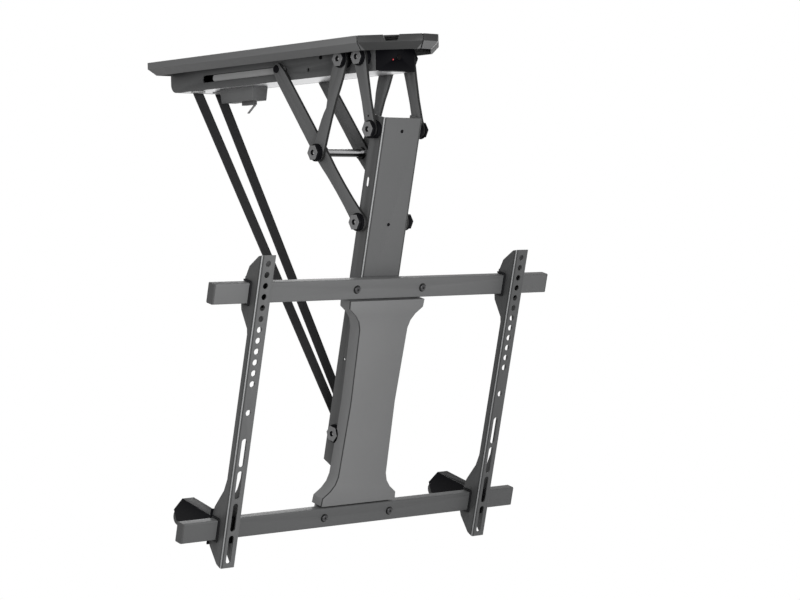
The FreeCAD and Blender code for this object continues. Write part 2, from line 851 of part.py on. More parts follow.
def make_ceiling_pivots():
    bolts = []
    rings = []
    nuts = []
    for name, y, z in (("crank", S.crank_y, -S.crank_drop), ("strut", S.strut_y, -S.strut_drop)):
        seat = link_outer + S.channel_washer
        end = channel_inner - S.nut_thickness - 1
        bolt = socket_bolt(name + "_bolt", seat + S.head_height, seat, end, y, z, S.pivot_radius)
        wide = S.channel_washer_radius
        washer = ring(name + "_washer", link_outer + S.fit_gap, seat, S.pivot_radius, wide, y, z)
        spacer = ring(
            name + "_spacer", S.channel_half_width, link_inner - S.fit_gap, S.pivot_radius, wide, y, z,
        )
        nut = Solid(name + "_nut", turned_about_x(0, y, z))
        nut.pad(
            "YZ_Plane", channel_inner - S.nut_thickness, "Sizes.nut_thickness", [hexagon(S.nut_radius)],
            [(0, 0, "Sizes.pivot_radius")],
        )
        for feature, group_list in ((bolt, bolts), (washer, rings), (spacer, rings), (nut.body, nuts)):
            group_list.append(feature)
            group_list.append(mirrored(feature, feature.Name + "_left"))
    group("ceiling_pivot_bolts", bolts)
    group("ceiling_pivot_rings", rings)
    group("ceiling_pivot_nuts", nuts)


# Links of the folding arm

def link(name, inner, start, finish, radii, left, right, holes):
    """A flat link between two points of the side view, with holes as distance along, offset and size."""
    dy = finish[0] - start[0]
    dz = finish[1] - start[1]
    angle = math.degrees(math.atan2(dz, dy))
    piece = Solid(name, turned_about_x(0, start[0], start[1], angle))
    edges = link_outline(math.hypot(dy, dz), radii[0], radii[1], left, right)
    piece.pad("YZ_Plane", inner, "Sizes.link_sheet", [edges], holes)
    return piece.body


crank_pin = (S.crank_y, -S.crank_drop)
strut_pin = (S.strut_y, -S.strut_drop)
slide_pin = (S.slide_y, -S.slide_drop)
elbow_pin = (S.elbow_y, -S.elbow_drop)
knee_pin = (S.knee_y, -S.knee_drop)
shoulder_pin = (S.shoulder_y, -S.shoulder_drop)


def along_and_across(start, finish, point):
    """Where a point lies along a line of the side view, and how far to its left."""
    line = Vector(finish[0] - start[0], finish[1] - start[1], 0)
    reach = Vector(point[0] - start[0], point[1] - start[1], 0)
    unit = Vector(line.x, line.y, 0).normalize()
    return reach.dot(unit), unit.x * reach.y - unit.y * reach.x


# Edges of the cranks, as share of their length and how much wider than their plain half width
CRANK_BACK = [
    (0.16, 4.1), (0.24, 3.4), (0.37, 0.8), (0.45, -2.2), (0.53, -4.2), (0.59, -1.8), (0.67, 0), (0.87, 2),
]
CRANK_FRONT = [(0.16, 2.5), (0.26, 1.9), (0.4, 0.1), (0.6, -0.1), (0.77, 0.7), (0.87, 1.5)]


def make_links():
    running = "Sizes.pivot_radius + Sizes.fit_gap"
    length = math.dist(crank_pin, elbow_pin)
    back = [(share, S.crank_back_half + wider) for share, wider in CRANK_BACK]
    front = [(share, S.crank_front_half + wider) for share, wider in CRANK_FRONT]
    crank = link(
        "crank_link", link_inner, crank_pin, elbow_pin, (S.crank_end_radius, S.crank_end_radius),
        back, front,
        [(0, 0, running), (length, 0, running)],
    )
    pair("cranks", crank)
    length = math.dist(slide_pin, knee_pin)
    along, across = along_and_across(slide_pin, knee_pin, elbow_pin)
    share = along / length
    half = S.arm_elbow_half - 1.5
    left = [(0.06, half - 1), (share, half + across)]
    right = [(0.06, half - 1), (share, half - across)]
    for part, wider in ((0.15, 1.9), (0.3, 0.5), (0.5, 0), (0.7, 0.4), (0.85, 1.5)):
        middle = across * (1 - part)
        at = share + (1 - share) * part
        left.append((at, S.arm_waist_half + wider + middle))
        right.append((at, S.arm_waist_half + wider - middle))
    arm = link(
        "main_arm_link", S.arm_inner, slide_pin, knee_pin, (S.arm_slide_radius, S.arm_knee_radius),
        left, right,
        [(0, 0, "Sizes.slide_pin_radius"), (along, across, "Sizes.pivot_radius"), (length, 0, running)],
    )
    pair("main_arms", arm)
    length = math.dist(strut_pin, shoulder_pin)
    waist = S.strut_waist_half
    strut = link(
        "strut_link", link_inner, strut_pin, shoulder_pin, (S.strut_end_radius, S.strut_end_radius - 2.5),
        [(0.3, waist), (0.6, waist - 1.5), (0.85, waist - 1)],
        [(0.3, waist), (0.6, waist - 1.5), (0.85, waist - 1)],
        [(0, 0, running), (length - S.strut_eye_offset, 0, "Sizes.strut_eye_radius"),
         (length, 0, "Sizes.pivot_radius")],
    )
    pair("struts", strut)
    # Pins that run in the channel's slots, and the elbow with its cross rod
    face = arm_outer + 2
    pin = Solid("slide_pin_body", turned_about_x(0, *slide_pin))
    pin.revolve([
        (channel_inner + 0.4, 0), (face, 0), (face, S.slide_head_radius, 0.8),
        (arm_outer, S.slide_head_radius), (arm_outer, S.slide_pin_radius),
        (channel_inner + 0.4, S.slide_pin_radius),
    ])
    pair("slide_pins", pin.body)
    seat = link_outer + S.elbow_washer
    bore_end = S.arm_inner - 12
    pair("elbow_bolts", socket_bolt(
        "elbow_bolt", seat + S.head_height + 1, seat, bore_end, *elbow_pin, S.pivot_radius,
    ))
    washer = ring("elbow_washer", link_outer + S.fit_gap, seat, S.pivot_radius, S.washer_radius, *elbow_pin)
    spacer = ring("elbow_spacer", arm_outer, link_inner - S.fit_gap, S.pivot_radius, S.nut_radius, *elbow_pin)
    group("elbow_rings", [
        washer, mirrored(washer, "elbow_washer_left"), spacer, mirrored(spacer, "elbow_spacer_left"),
    ])
    rod = Solid("cross_rod_body", turned_about_x(0, *elbow_pin))
    collar = S.arm_inner - 5
    mouth = S.pivot_radius
    rod.revolve([
        (-S.arm_inner, mouth), (-bore_end, mouth), (-bore_end, 0), (bore_end, 0), (bore_end, mouth),
        (S.arm_inner, mouth), (S.arm_inner, 9.5), (collar, 9.5), (collar, S.rod_radius),
        (-collar, S.rod_radius), (-collar, 9.5), (-S.arm_inner, 9.5),
    ])
    rod.keep("cross_rod")
    # Knee, fixed to the column, and shoulder, fixed to the strut
    seat = arm_outer + S.knee_washer
    end = column_inner - S.nut_thickness - 1
    pair("knee_bolts", socket_bolt(
        "knee_bolt", seat + S.head_height + 1, seat, end, *knee_pin, S.pivot_radius,
    ))
    washer = ring("knee_washer", arm_outer + S.fit_gap, seat, S.pivot_radius, S.washer_radius, *knee_pin)
    spacer = ring("knee_spacer", S.column_half_width, S.arm_inner - S.fit_gap, S.pivot_radius, 12, *knee_pin)
    axle_washer = ring(
        "axle_washer", S.column_half_width, S.column_half_width + 2, S.pivot_radius, S.axle_head_radius,
        S.strap_axle_back, -S.strap_axle_down, knee,
    )
    column_rings = []
    for feature in (washer, spacer, axle_washer):
        column_rings += [feature, mirrored(feature, feature.Name + "_left")]
    group("column_rings", column_rings)
    nut = Solid("knee_nut_body", turned_about_x(0, *knee_pin))
    nut.pad(
        "YZ_Plane", column_inner - S.nut_thickness, "Sizes.nut_thickness", [hexagon(S.nut_radius)],
        [(0, 0, "Sizes.pivot_radius")],
    )
    pair("knee_nuts", nut.body)
    seat = link_outer + S.shoulder_washer
    pair("shoulder_bolts", socket_bolt(
        "shoulder_bolt", seat + S.head_height, seat, S.column_half_width + S.seat_gap, *shoulder_pin,
        S.pivot_radius,
    ))
    washer = ring("shoulder_washer", link_outer, seat, S.pivot_radius, S.washer_radius, *shoulder_pin)
    spacer = ring(
        "shoulder_spacer", S.column_half_width + 0.5, link_inner, S.pivot_radius, S.arm_knee_radius,
        *shoulder_pin,
    )
    group("shoulder_rings", [
        washer, mirrored(washer, "shoulder_washer_left"), spacer, mirrored(spacer, "shoulder_spacer_left"),
    ])


def strap_line():
    """The straps in side view: their start at the guides, the angle of their line and their length."""
    guide = Vector(0, S.strap_guide_y, -S.channel_bottom - S.strap_guide_drop)
    axle = knee.multVec(Vector(0, S.strap_axle_back, -S.strap_axle_down))
    reach = math.hypot(axle.y - guide.y, axle.z - guide.z)
    offset = S.strap_loop_reach + S.strap_thickness / 2 + 0.1
    angle = math.atan2(axle.z - guide.z, axle.y - guide.y) + math.asin(offset / reach)
    return guide, angle, math.sqrt(reach ** 2 - offset ** 2)


# Column and what it carries. Its own frame has the origin at the knee and Z up its length.

def make_column():
    column = Solid("column_body", knee)
    front = -S.column_front
    slant = 8
    side = [
        (front, -S.column_below), (column_back, -S.column_below + slant),
        (column_back, S.column_above), (front, S.column_above),
    ]
    column.pad("YZ_Plane", -S.column_half_width, "2 * Sizes.column_half_width", [side])
    rounded(
        column.body, "column_folds",
        lambda a, b: abs(a.y - front) < 1e-6 and abs(b.y - front) < 1e-6 and abs(a.z - b.z) > 100,
        "Sizes.column_bend",
    )
    hollow = rectangle(-column_inner, front + S.column_wall, column_inner, column_back + 1)
    column.pocket(
        "XY_Plane", S.column_above + 1, "Sizes.column_above + Sizes.column_below + 2", [hollow],
    )
    shoulder = shoulder_in_column
    slot_z = S.column_slot_up
    half = S.column_slot_length / 2 - S.column_slot_radius
    slot_y = S.column_slot_back
    slot = slot_outline(slot_y, slot_z - half, slot_y, slot_z + half, S.column_slot_radius)
    column.pocket("YZ_Plane", S.column_half_width + 1, "2 * Sizes.column_half_width + 2", [slot], [
        (0, 0, "Sizes.pivot_radius"),
        (shoulder.y, shoulder.z, "Sizes.pivot_radius + Sizes.fit_gap"),
        (-4, -S.column_hole_down, "Sizes.column_hole_radius"),
        (S.strap_axle_back, -S.strap_axle_down, "Sizes.pivot_radius"),
    ])
    bolts = []
    for x, z in pan_bolt_places():
        bolts.append((x, z, "Sizes.pan_bolt_radius"))
    column.pocket("XZ_Plane", -front + S.column_wall, "3 * Sizes.column_wall", circles=bolts)
    column.keep("column")
    screws = []
    for number, z in enumerate((S.column_above - 20, -0.4)):
        at = knee.multiply(Placement(Vector(0, front, z), Rotation(Vector(0, 0, 1), -90)))
        screw = Solid(f"face_screw_{number}", at)
        face = S.face_screw_head
        head = S.face_screw_radius
        screw.revolve([(0, 0), (face, 0), (face, head, face * 0.7), (0, head)])
        screws.append(screw.body)
    group("face_screws", screws)
    # Strap axle, its loops and its bolts
    axle_y = S.strap_axle_back
    axle_z = -S.strap_axle_down
    axle = Solid("strap_axle_body", knee.multiply(turned_about_x(0, axle_y, axle_z)))
    mouth = column_inner - 14
    axle.revolve([
        (-column_inner, S.pivot_radius), (-mouth, S.pivot_radius), (-mouth, 0), (mouth, 0),
        (mouth, S.pivot_radius), (column_inner, S.pivot_radius), (column_inner, S.strap_axle_radius),
        (-column_inner, S.strap_axle_radius),
    ])
    axle.keep("strap_axle")
    # Anchors of the straps: sleeves on the axle with a tail to the straps' line
    tail = math.degrees(strap_line()[1]) + 90 - S.column_tilt
    anchor = Solid("strap_loop_body", knee.multiply(turned_about_x(0, axle_y, axle_z, tail)))
    tail_end = S.strap_tail_radius
    anchor.pad(
        "YZ_Plane", S.strap_foot_x - S.strap_width / 2, "Sizes.strap_width",
        [link_outline(S.strap_loop_reach - tail_end, S.strap_sleeve_radius, tail_end, [], [])],
        [(0, 0, "Sizes.strap_axle_radius")],
    )
    pair("strap_loops", anchor.body)
    seat = S.column_half_width + 2
    bolt = socket_bolt(
        "axle_bolt", seat + S.axle_head_height, seat, mouth + 1, axle_y, axle_z, S.pivot_radius, knee,
    )
    pair("axle_bolts", bolt)


def pan_bolt_places():
    top = upper_rail_z - S.rail_height / 2 - S.pan_gap - S.pan_bolt_inset
    low = -S.strap_axle_down - S.axle_to_pan_bolts
    return [(side * S.pan_bolt_x, z) for z in (top, low) for side in (-1, 1)]


def pan_outline():
    """Hourglass outline of the plate between the rails: wide ends, curved necks, a gently waisted middle."""
    top = upper_rail_z - S.rail_height / 2 - S.pan_gap
    low = lower_rail_z + S.rail_height / 2 + S.pan_gap
    centre = (top + low) / 2
    half_height = (top - low) / 2
    right = []
    for drop, half in (
        (0, S.pan_half_width), (S.pan_end_height - 2, S.pan_half_width - 1),
        (S.pan_end_height + 8, S.pan_half_width - 14), (S.pan_neck_height - 12, S.pan_neck_half + 4),
        (S.pan_neck_height, S.pan_neck_half), (half_height - 40, S.pan_waist_half + 0.8),
    ):
        right.append((half, half_height - drop))
    quarter = right + [(S.pan_waist_half, 0)]
    lower = [(x, -z) for x, z in right[::-1]]
    right_side = quarter + lower
    left_side = [(-x, z) for x, z in right_side[::-1]]
    clockwise = [(x, centre + z) for x, z in right_side + left_side]
    return clockwise[::-1]


def make_adapter():
    pan = Solid("adapter_body", knee)
    outline = pan_outline()
    back = -S.column_front
    pan.pad("XZ_Plane", -back, "Sizes.pan_depth", [outline])
    # The hollow behind the face and the window inside the rear lip
    pan.pocket(
        "XZ_Plane", -(rail_front + S.pan_sheet), "Sizes.pan_depth - 2 * Sizes.pan_sheet",
        [inset(outline, S.pan_sheet)],
    )
    window = rectangle(
        -S.pan_waist_half + S.pan_lip, lower_rail_z + 60, S.pan_waist_half - S.pan_lip, upper_rail_z - 60, 6,
    )
    pan.pocket("XZ_Plane", -(back - 1.5 * S.pan_sheet), "2 * Sizes.pan_sheet", [window])
    # Tabs that reach behind both rails
    tabs = []
    for rail_z, way in ((upper_rail_z, 1), (lower_rail_z, -1)):
        start = rail_z - way * (S.rail_height / 2 + S.pan_gap + S.pan_sheet)
        finish = start + way * (S.tab_height + S.pan_sheet)
        tabs.append(rectangle(
            -S.pan_half_width, min(start, finish), S.pan_half_width, max(start, finish), 3,
        ))
    tab_back = rail_back + S.pan_sheet
    holes = [(x, z, "Sizes.rail_screw_radius + Sizes.fit_gap") for x, z in rail_screw_places()]
    pan.pad("XZ_Plane", -tab_back, "Sizes.pan_sheet", tabs)
    pan.pocket("XZ_Plane", -(rail_back - 1), "2 * Sizes.pan_sheet", circles=holes)
    pan.pocket("YZ_Plane", S.pan_half_width + 1, "2 * Sizes.pan_half_width + 2", circles=[
        (S.strap_axle_back, -S.strap_axle_down, "Sizes.axle_head_radius + 1"),
    ])
    bolts = [(x, z, "Sizes.pan_bolt_radius") for x, z in pan_bolt_places()]
    pan.pocket("XZ_Plane", -(back - 1.5 * S.pan_sheet), "2 * Sizes.pan_sheet", circles=bolts)
    pan.keep("adapter_plate")
    shanks = []
    for number, (x, z) in enumerate(pan_bolt_places()):
        lip = back - S.pan_sheet
        at = knee.multiply(Placement(Vector(x, lip, z), Rotation(Vector(0, 0, 1), -90)))
        bolt = Solid(f"adapter_bolt_{number}", at)
        tail = -(S.pan_sheet + S.column_wall + 3)
        height = S.pan_bolt_head_height
        bolt.revolve([
            (tail, 0), (height, 0), (height, S.pan_bolt_head, 1), (0, S.pan_bolt_head),
            (0, S.pan_bolt_radius), (tail, S.pan_bolt_radius),
        ])
        shanks.append(bolt.body)
    group("adapter_bolts", shanks)


# Rails

def rail_screw_places():
    return [(side * S.rail_screw_x, z) for z in (upper_rail_z, lower_rail_z) for side in (-1, 1)]


def make_rails():
    tube_half = S.rail_length / 2 - S.rail_cap
    depth_middle = rail_front + S.rail_depth / 2
    caps = []
    for name, z in (("upper", upper_rail_z), ("lower", lower_rail_z)):
        rail = Solid(name + "_rail_body", knee)
        low = z - S.rail_height / 2
        top = z + S.rail_height / 2
        outer = rectangle(rail_front, low, rail_back, top, S.rail_round)
        wall = S.rail_wall
        inner = rectangle(rail_front + wall, low + wall, rail_back - wall, top - wall)
        rail.pad("YZ_Plane", -tube_half, "Sizes.rail_length - 2 * Sizes.rail_cap", [outer, inner])
        screws = [(side * S.rail_screw_x, z, "Sizes.rail_screw_radius") for side in (-1, 1)]
        rail.pocket("XZ_Plane", -rail_front + 1, "Sizes.rail_depth + 2", circles=screws)
        rail.keep(name + "_rail")
        cap = Solid(name + "_cap_body", knee)
        cap.pad("YZ_Plane", tube_half, "Sizes.rail_cap", [outer])
        gap = S.fit_gap
        plug = rectangle(rail_front + wall + gap, low + wall + gap, rail_back - wall - gap, top - wall - gap, 1)
        cap.pad("YZ_Plane", tube_half - S.rail_plug, "Sizes.rail_plug", [plug])
        caps += [cap.body, mirrored(cap.body, cap.body.Name + "_left")]
    group("rail_caps", caps)
    screws = []
    nuts = []
    for number, (x, z) in enumerate(rail_screw_places()):
        at = knee.multiply(Placement(Vector(x, rail_front, z), Rotation(Vector(0, 0, 1), -90)))
        screw = Solid(f"rail_screw_{number}", at)
        height = S.rail_screw_height
        tail = -(S.rail_depth + S.pan_sheet + S.rail_nut_thickness)
        screw.revolve([
            (tail, 0), (height, 0), (height, S.rail_screw_head, 1.2), (0, S.rail_screw_head),
            (0, S.rail_screw_radius), (tail, S.rail_screw_radius),
        ])
        screw.pocket("YZ_Plane", height, "Sizes.rail_screw_height - 1", [hexagon(2)])
        screws.append(screw.body)
        nut = Solid(f"rail_nut_{number}", knee)
        nut_back = rail_back + S.pan_sheet + S.rail_nut_thickness
        flats = [(x + dx, z + dz) for dx, dz in hexagon(5.5)]
        bore = [(x, z, "Sizes.rail_screw_radius")]
        nut.pad("XZ_Plane", -nut_back, "Sizes.rail_nut_thickness", [flats], bore)
        nuts.append(nut.body)
    group("rail_screws", screws)
    group("rail_nuts", nuts)


# Screen arms. Points are given as distance down from the upper rail's centre and back from its front.

# Back edge of the flanges round each rail, as distance down from that rail's centre and back from its front
UPPER_FLANGE = [(-38, 8), (-16, 15), (18, 16), (27, 13.5), (34, 8), (50, -5), (58, -7), (81, -7)]
LOWER_FLANGE = [(-79, -6.2), (-61, -2), (-32, 14), (-20, 17), (22, 17), (28, 14), (49, -7)]


def arm_point(down, back):
    return (rail_front + back, upper_rail_z - down)


def flange_edge():
    points = [arm_point(down, back) for down, back in UPPER_FLANGE]
    return points + [arm_point(S.rail_pitch + down, back) for down, back in LOWER_FLANGE]


def make_screen_arm(x, side, name):
    at = knee.multiply(Placement(Vector(x, 0, 0), Rotation()))
    half = S.screen_arm_half_width
    inner = half - S.screen_arm_sheet
    face = -S.screen_arm_stand
    top = -S.screen_arm_above
    low = S.rail_pitch + S.screen_arm_below
    arm = Solid("screen_arm_body_" + name, at)
    profile = [arm_point(top, face), arm_point(low, face), arm_point(low - 2, -12)]
    profile += flange_edge()[::-1]
    profile += [arm_point(top + 3, -10)]
    arm.pad("YZ_Plane", -half, "2 * Sizes.screen_arm_half_width", [profile])
    front = rail_front + face
    rounded(
        arm.body, "screen_arm_folds_" + name,
        lambda a, b: abs(a.y - front) < 1e-6 and abs(b.y - front) < 1e-6 and abs(a.z - b.z) > 100,
        "Sizes.screen_arm_bend",
    )
    channel_room = [
        arm_point(top - 5, face + S.screen_arm_sheet), arm_point(low + 5, face + S.screen_arm_sheet),
        arm_point(low + 5, 30), arm_point(top - 5, 30),
    ]
    arm.pocket(
        "YZ_Plane", inner, "2 * Sizes.screen_arm_half_width - 2 * Sizes.screen_arm_sheet", [channel_room],
    )
    reach = S.rail_height / 2 + S.liner_thickness + S.lip_gap
    start = -S.liner_thickness - S.lip_gap
    round_off = S.liner_round + S.lip_gap
    notches = []
    for middle in (0, S.rail_pitch):
        notches.append([
            (*arm_point(middle - reach, start), round_off), (*arm_point(middle + reach, start), round_off),
            arm_point(middle + reach, 30), arm_point(middle - reach, 30),
        ])
    arm.pocket("YZ_Plane", half + 1, "2 * Sizes.screen_arm_half_width + 2", notches)
    holes = []
    first = -S.screen_arm_above + S.first_hole_down
    for number in range(int(S.hole_count)):
        holes.append((0, upper_rail_z - first - number * S.hole_pitch, "Sizes.screen_hole_radius"))
    holes.append((0, upper_rail_z - top - S.lone_hole_down, "Sizes.screen_hole_radius"))
    slots = []
    straight = S.screen_slot_length / 2 - S.screen_hole_radius
    for number in range(int(S.slot_count)):
        middle = upper_rail_z - top - S.first_slot_down - number * S.slot_pitch
        slots.append(slot_outline(0, middle - straight, 0, middle + straight, S.screen_hole_radius))
    arm.pocket("XZ_Plane", -rail_front + S.screen_arm_stand + 1, "2 * Sizes.screen_arm_sheet", slots, holes)
    arm.keep("screen_arm_" + name)
    make_saddles(at, name)
    make_foot(at, side, name)


def saddle(name, at, middle, half_length):
    """A plastic block in the arm that hugs a rail on three sides, with lips in the notches of the flanges."""
    block = Solid(name, at)
    start = middle - half_length
    finish = middle + half_length
    inner = S.screen_arm_half_width - S.screen_arm_sheet
    gap = S.seat_gap
    front = -S.liner_thickness - S.saddle_cover
    profile = [
        arm_point(start, front), arm_point(finish, front),
        arm_point(finish, clamp_face), arm_point(start, clamp_face),
    ]
    block.pad("YZ_Plane", -inner, f"{2 * inner}", [profile])
    reach = S.rail_height / 2 + S.liner_thickness
    lip_front = -S.liner_thickness
    round_off = S.liner_round
    lip = [
        (*arm_point(middle - reach, lip_front), round_off),
        (*arm_point(middle + reach, lip_front), round_off),
        arm_point(middle + reach, clamp_face), arm_point(middle - reach, clamp_face),
    ]
    width = S.screen_arm_half_width + S.liner_proud
    block.pad("YZ_Plane", -width, f"{2 * width}", [lip])
    room = S.rail_height / 2 + gap
    rail = [
        arm_point(middle - room, -gap), arm_point(middle + room, -gap),
        arm_point(middle + room, 30), arm_point(middle - room, 30),
    ]
    block.pocket("YZ_Plane", width + 1, f"{2 * width + 2}", [rail])
    screws = clamp_screw_places(middle)
    block.pocket("XZ_Plane", -(rail_front + clamp_face - 12), "13", circles=screws)
    return block


def clamp_screw_places(middle):
    offset = (S.lower_saddle_half if middle else S.upper_saddle_half) - S.clamp_screw_inset
    return [(0, upper_rail_z - middle + way * offset, "Sizes.clamp_screw_radius") for way in (1, -1)]


def make_saddles(at, name):
    upper = saddle("saddle_upper_" + name, at, 0, S.upper_saddle_half)
    lower = saddle("saddle_lower_" + name, at, S.rail_pitch, S.lower_saddle_half)
    group("arm_saddles_" + name, [upper.body, lower.body])


def foot_places():
    """Corners of the foot's side plates: arm end, web's top, far corner, edge and base, and the base."""
    web = S.rail_pitch - S.foot_web_up
    edge = S.rail_pitch + S.foot_edge_down
    base = clamp_face + S.foot_sheet
    return [
        arm_point(web + S.foot_web_rise, base), arm_point(edge, base), arm_point(edge, S.foot_edge_back),
        arm_point(S.rail_pitch + S.foot_corner_down, S.foot_corner_back), arm_point(web, S.foot_web_back),
    ]


def clamp_plate(body, middle, half_length):
    """The plate that holds a saddle shut behind a rail, in the arm's channel."""
    inner = S.screen_arm_half_width - S.screen_arm_sheet - S.seat_gap
    start = middle - half_length - S.clamp_plate_over
    finish = middle + half_length + S.clamp_plate_over
    back = clamp_face + S.foot_sheet
    body.pad("YZ_Plane", -inner, f"{2 * inner}", [[
        arm_point(start, clamp_face), arm_point(finish, clamp_face),
        arm_point(finish, back), arm_point(start, back),
    ]])


def make_foot(at, side, name):
    ends = sorted((side * S.foot_outer, -side * S.foot_inner))
    width = ends[1] - ends[0]
    sheet_in = S.foot_sheet
    outline = foot_places()
    foot = Solid("foot_body_" + name, at)
    foot.pad("YZ_Plane", ends[0], f"{width}", [outline])
    # The room between the two side plates is open below and behind
    web_end, edge_base, edge_back, corner, web_top = outline
    hollow = [
        (web_end[0] - 1, web_end[1] - sheet_in), (edge_base[0] - 1, edge_base[1] - 5),
        (corner[0] + 15, edge_base[1] - 5), (corner[0] + 15, corner[1]), (corner[0], corner[1] - sheet_in),
        (web_top[0] - sheet_in, web_top[1] - sheet_in),
    ]
    foot.pocket("YZ_Plane", ends[1] - sheet_in, f"{width - 2 * sheet_in}", [hollow])
    # A flange behind the arm joins the side plates to the clamp plate
    flange_back = clamp_face + 2 * S.foot_sheet
    flange_front = clamp_face + S.foot_sheet
    high = S.rail_pitch - S.foot_flange_up
    low = S.rail_pitch + S.foot_flange_down
    clamp_plate(foot, S.rail_pitch, S.lower_saddle_half)
    foot.pad("YZ_Plane", ends[0] if side < 0 else -S.foot_inner, f"{width}", [[
        arm_point(high, flange_front), arm_point(low, flange_front),
        arm_point(low, flange_back), arm_point(high, flange_back),
    ]])
    foot.pocket(
        "XZ_Plane", -(rail_front + clamp_face - 1), "2 * Sizes.foot_sheet + 2",
        circles=clamp_screw_places(S.rail_pitch),
    )
    # Room in the top web for the heads of the clamp screws
    places = clamp_screw_places(S.rail_pitch)
    heads = [(x, z, "Sizes.clamp_head_radius + Sizes.seat_gap") for x, z, _ in places]
    foot.pocket("XZ_Plane", -(rail_front + flange_back), "Sizes.clamp_head_height + 5", circles=heads)
    bumper = Solid("bumper_body_" + name, at)
    gap = S.fit_gap
    radius = S.bumper_radius
    start = ends[0] + sheet_in + gap
    centre = (corner[0] - radius + S.bumper_proud, corner[1] - radius + S.bumper_proud)
    bumper.pad("YZ_Plane", start, f"{width - 2 * sheet_in - 2 * gap}", circles=[
        (centre[0], centre[1], "Sizes.bumper_radius"),
    ])
    bumper.keep("bumper_" + name)
    keeper = Solid("keeper_body_" + name, at)
    clamp_plate(keeper, 0, S.upper_saddle_half)
    keeper.pocket(
        "XZ_Plane", -(rail_front + clamp_face - 1), "Sizes.foot_sheet + 2", circles=clamp_screw_places(0),
    )
    group("arm_clamps_" + name, [foot.body, keeper.body])
    screws = []
    spots = [(clamp_screw_places(0), 1), (clamp_screw_places(S.rail_pitch), 2)]
    number = 0
    for places, sheets in spots:
        back = rail_front + clamp_face + sheets * S.foot_sheet
        for x, z, _ in places:
            spot = at.multiply(Placement(Vector(x, back, z), Rotation(Vector(0, 0, 1), 90)))
            screw = Solid(f"clamp_screw_{number}_{name}", spot)
            number += 1
            height = S.clamp_head_height
            tail = -sheets * S.foot_sheet - 12
            screw.revolve([
                (tail, 0), (height, 0), (height, S.clamp_head_radius, 0.8), (0, S.clamp_head_radius),
                (0, S.clamp_screw_radius), (tail, S.clamp_screw_radius),
            ])
            screws.append(screw.body)
    group("clamp_screws_" + name, screws)


# Lifting straps. Their own frame has the origin at the guides, with Y along the straps.

def make_straps():
    guide, line, length = strap_line()
    strap = Solid("strap_body", turned_about_x(0, guide.y, guide.z, math.degrees(line)))
    half = S.strap_width / 2
    near = S.strap_guide_x
    far = S.strap_foot_x
    strap.pad("XY_Plane", -S.strap_thickness / 2, "Sizes.strap_thickness", [[
        (near - half, 0), (near + half, 0), (far + half, length), (far - half, length),
    ]])
    strap.pad("YZ_Plane", near - half, "Sizes.strap_width", circles=[(0, 0, "Sizes.strap_thickness / 2")])
    pair("straps", strap.body)
    grommet = Solid("strap_guide_body")
    low = -S.channel_bottom - S.strap_guide_drop + 1
    wide = S.strap_guide_half
    deep = S.strap_guide_round
    mouth = S.strap_mouth_half
    narrow = S.strap_mouth_round
    x = S.strap_guide_x
    y = S.strap_guide_y
    hole = rectangle(x - mouth, y - narrow, x + mouth, y + narrow, narrow * 0.98)
    rim = rectangle(x - wide, y - deep, x + wide - 1, y + deep, deep * 0.98)
    neck = rectangle(x - mouth - 1.2, y - narrow - 1.2, x + mouth + 1.2, y + narrow + 1.2, 3)
    grommet.pad("XY_Plane", low, f"{-S.channel_bottom - low}", [rim, hole])
    grommet.pad("XY_Plane", -S.channel_bottom, "Sizes.cover_thickness", [neck, hole])
    pair("strap_guides", grommet.body)
    lead = Solid("strap_lead_body")
    top = spool_z
    bottom = -S.channel_bottom - S.strap_guide_drop + 1.3
    edge = y + 0.3 - S.strap_thickness - 0.6
    outline = rectangle(x - half, edge, x + half, edge + S.strap_thickness)
    lead.pad("XY_Plane", bottom, f"{top - bottom}", [outline])
    pair("strap_leads", lead.body)


make_tray()
make_channel()
make_bottom_cover()
make_caps()
make_lens("lamp_lens", S.lamp_x, S.lamp_drop, S.lamp_radius)
make_lens("receiver_lens", S.receiver_x, S.receiver_drop, S.receiver_radius)
make_guides_and_rivets()
make_drive()
make_board()
make_switch_box()
make_ceiling_pivots()
make_links()
make_column()
make_adapter()
make_rails()
make_screen_arm(S.left_arm_x, -1, "left")
make_screen_arm(S.right_arm_x, 1, "right")
make_straps()
doc.recompute()

# Every object has to be sound before any file is written
for item in doc.Objects:
    if "Invalid" in item.State or "Error" in item.State:
        raise RuntimeError(f"{item.Label} failed to compute")
for piece in PIECES:
    if piece.Shape.isNull() or not piece.Shape.isValid() or piece.Shape.Volume <= 0:
        raise RuntimeError(f"{piece.Label} has no sound shape")

os.makedirs("parts", exist_ok=True)
for piece in PIECES:
    piece.Shape.exportStep(f"parts/{piece.Label}.step")
    print(piece.Label, len(piece.Shape.Solids), round(piece.Shape.Volume))
print(len(PIECES), "pieces")
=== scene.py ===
import json
import math

import bpy
from mathutils import Matrix, Vector


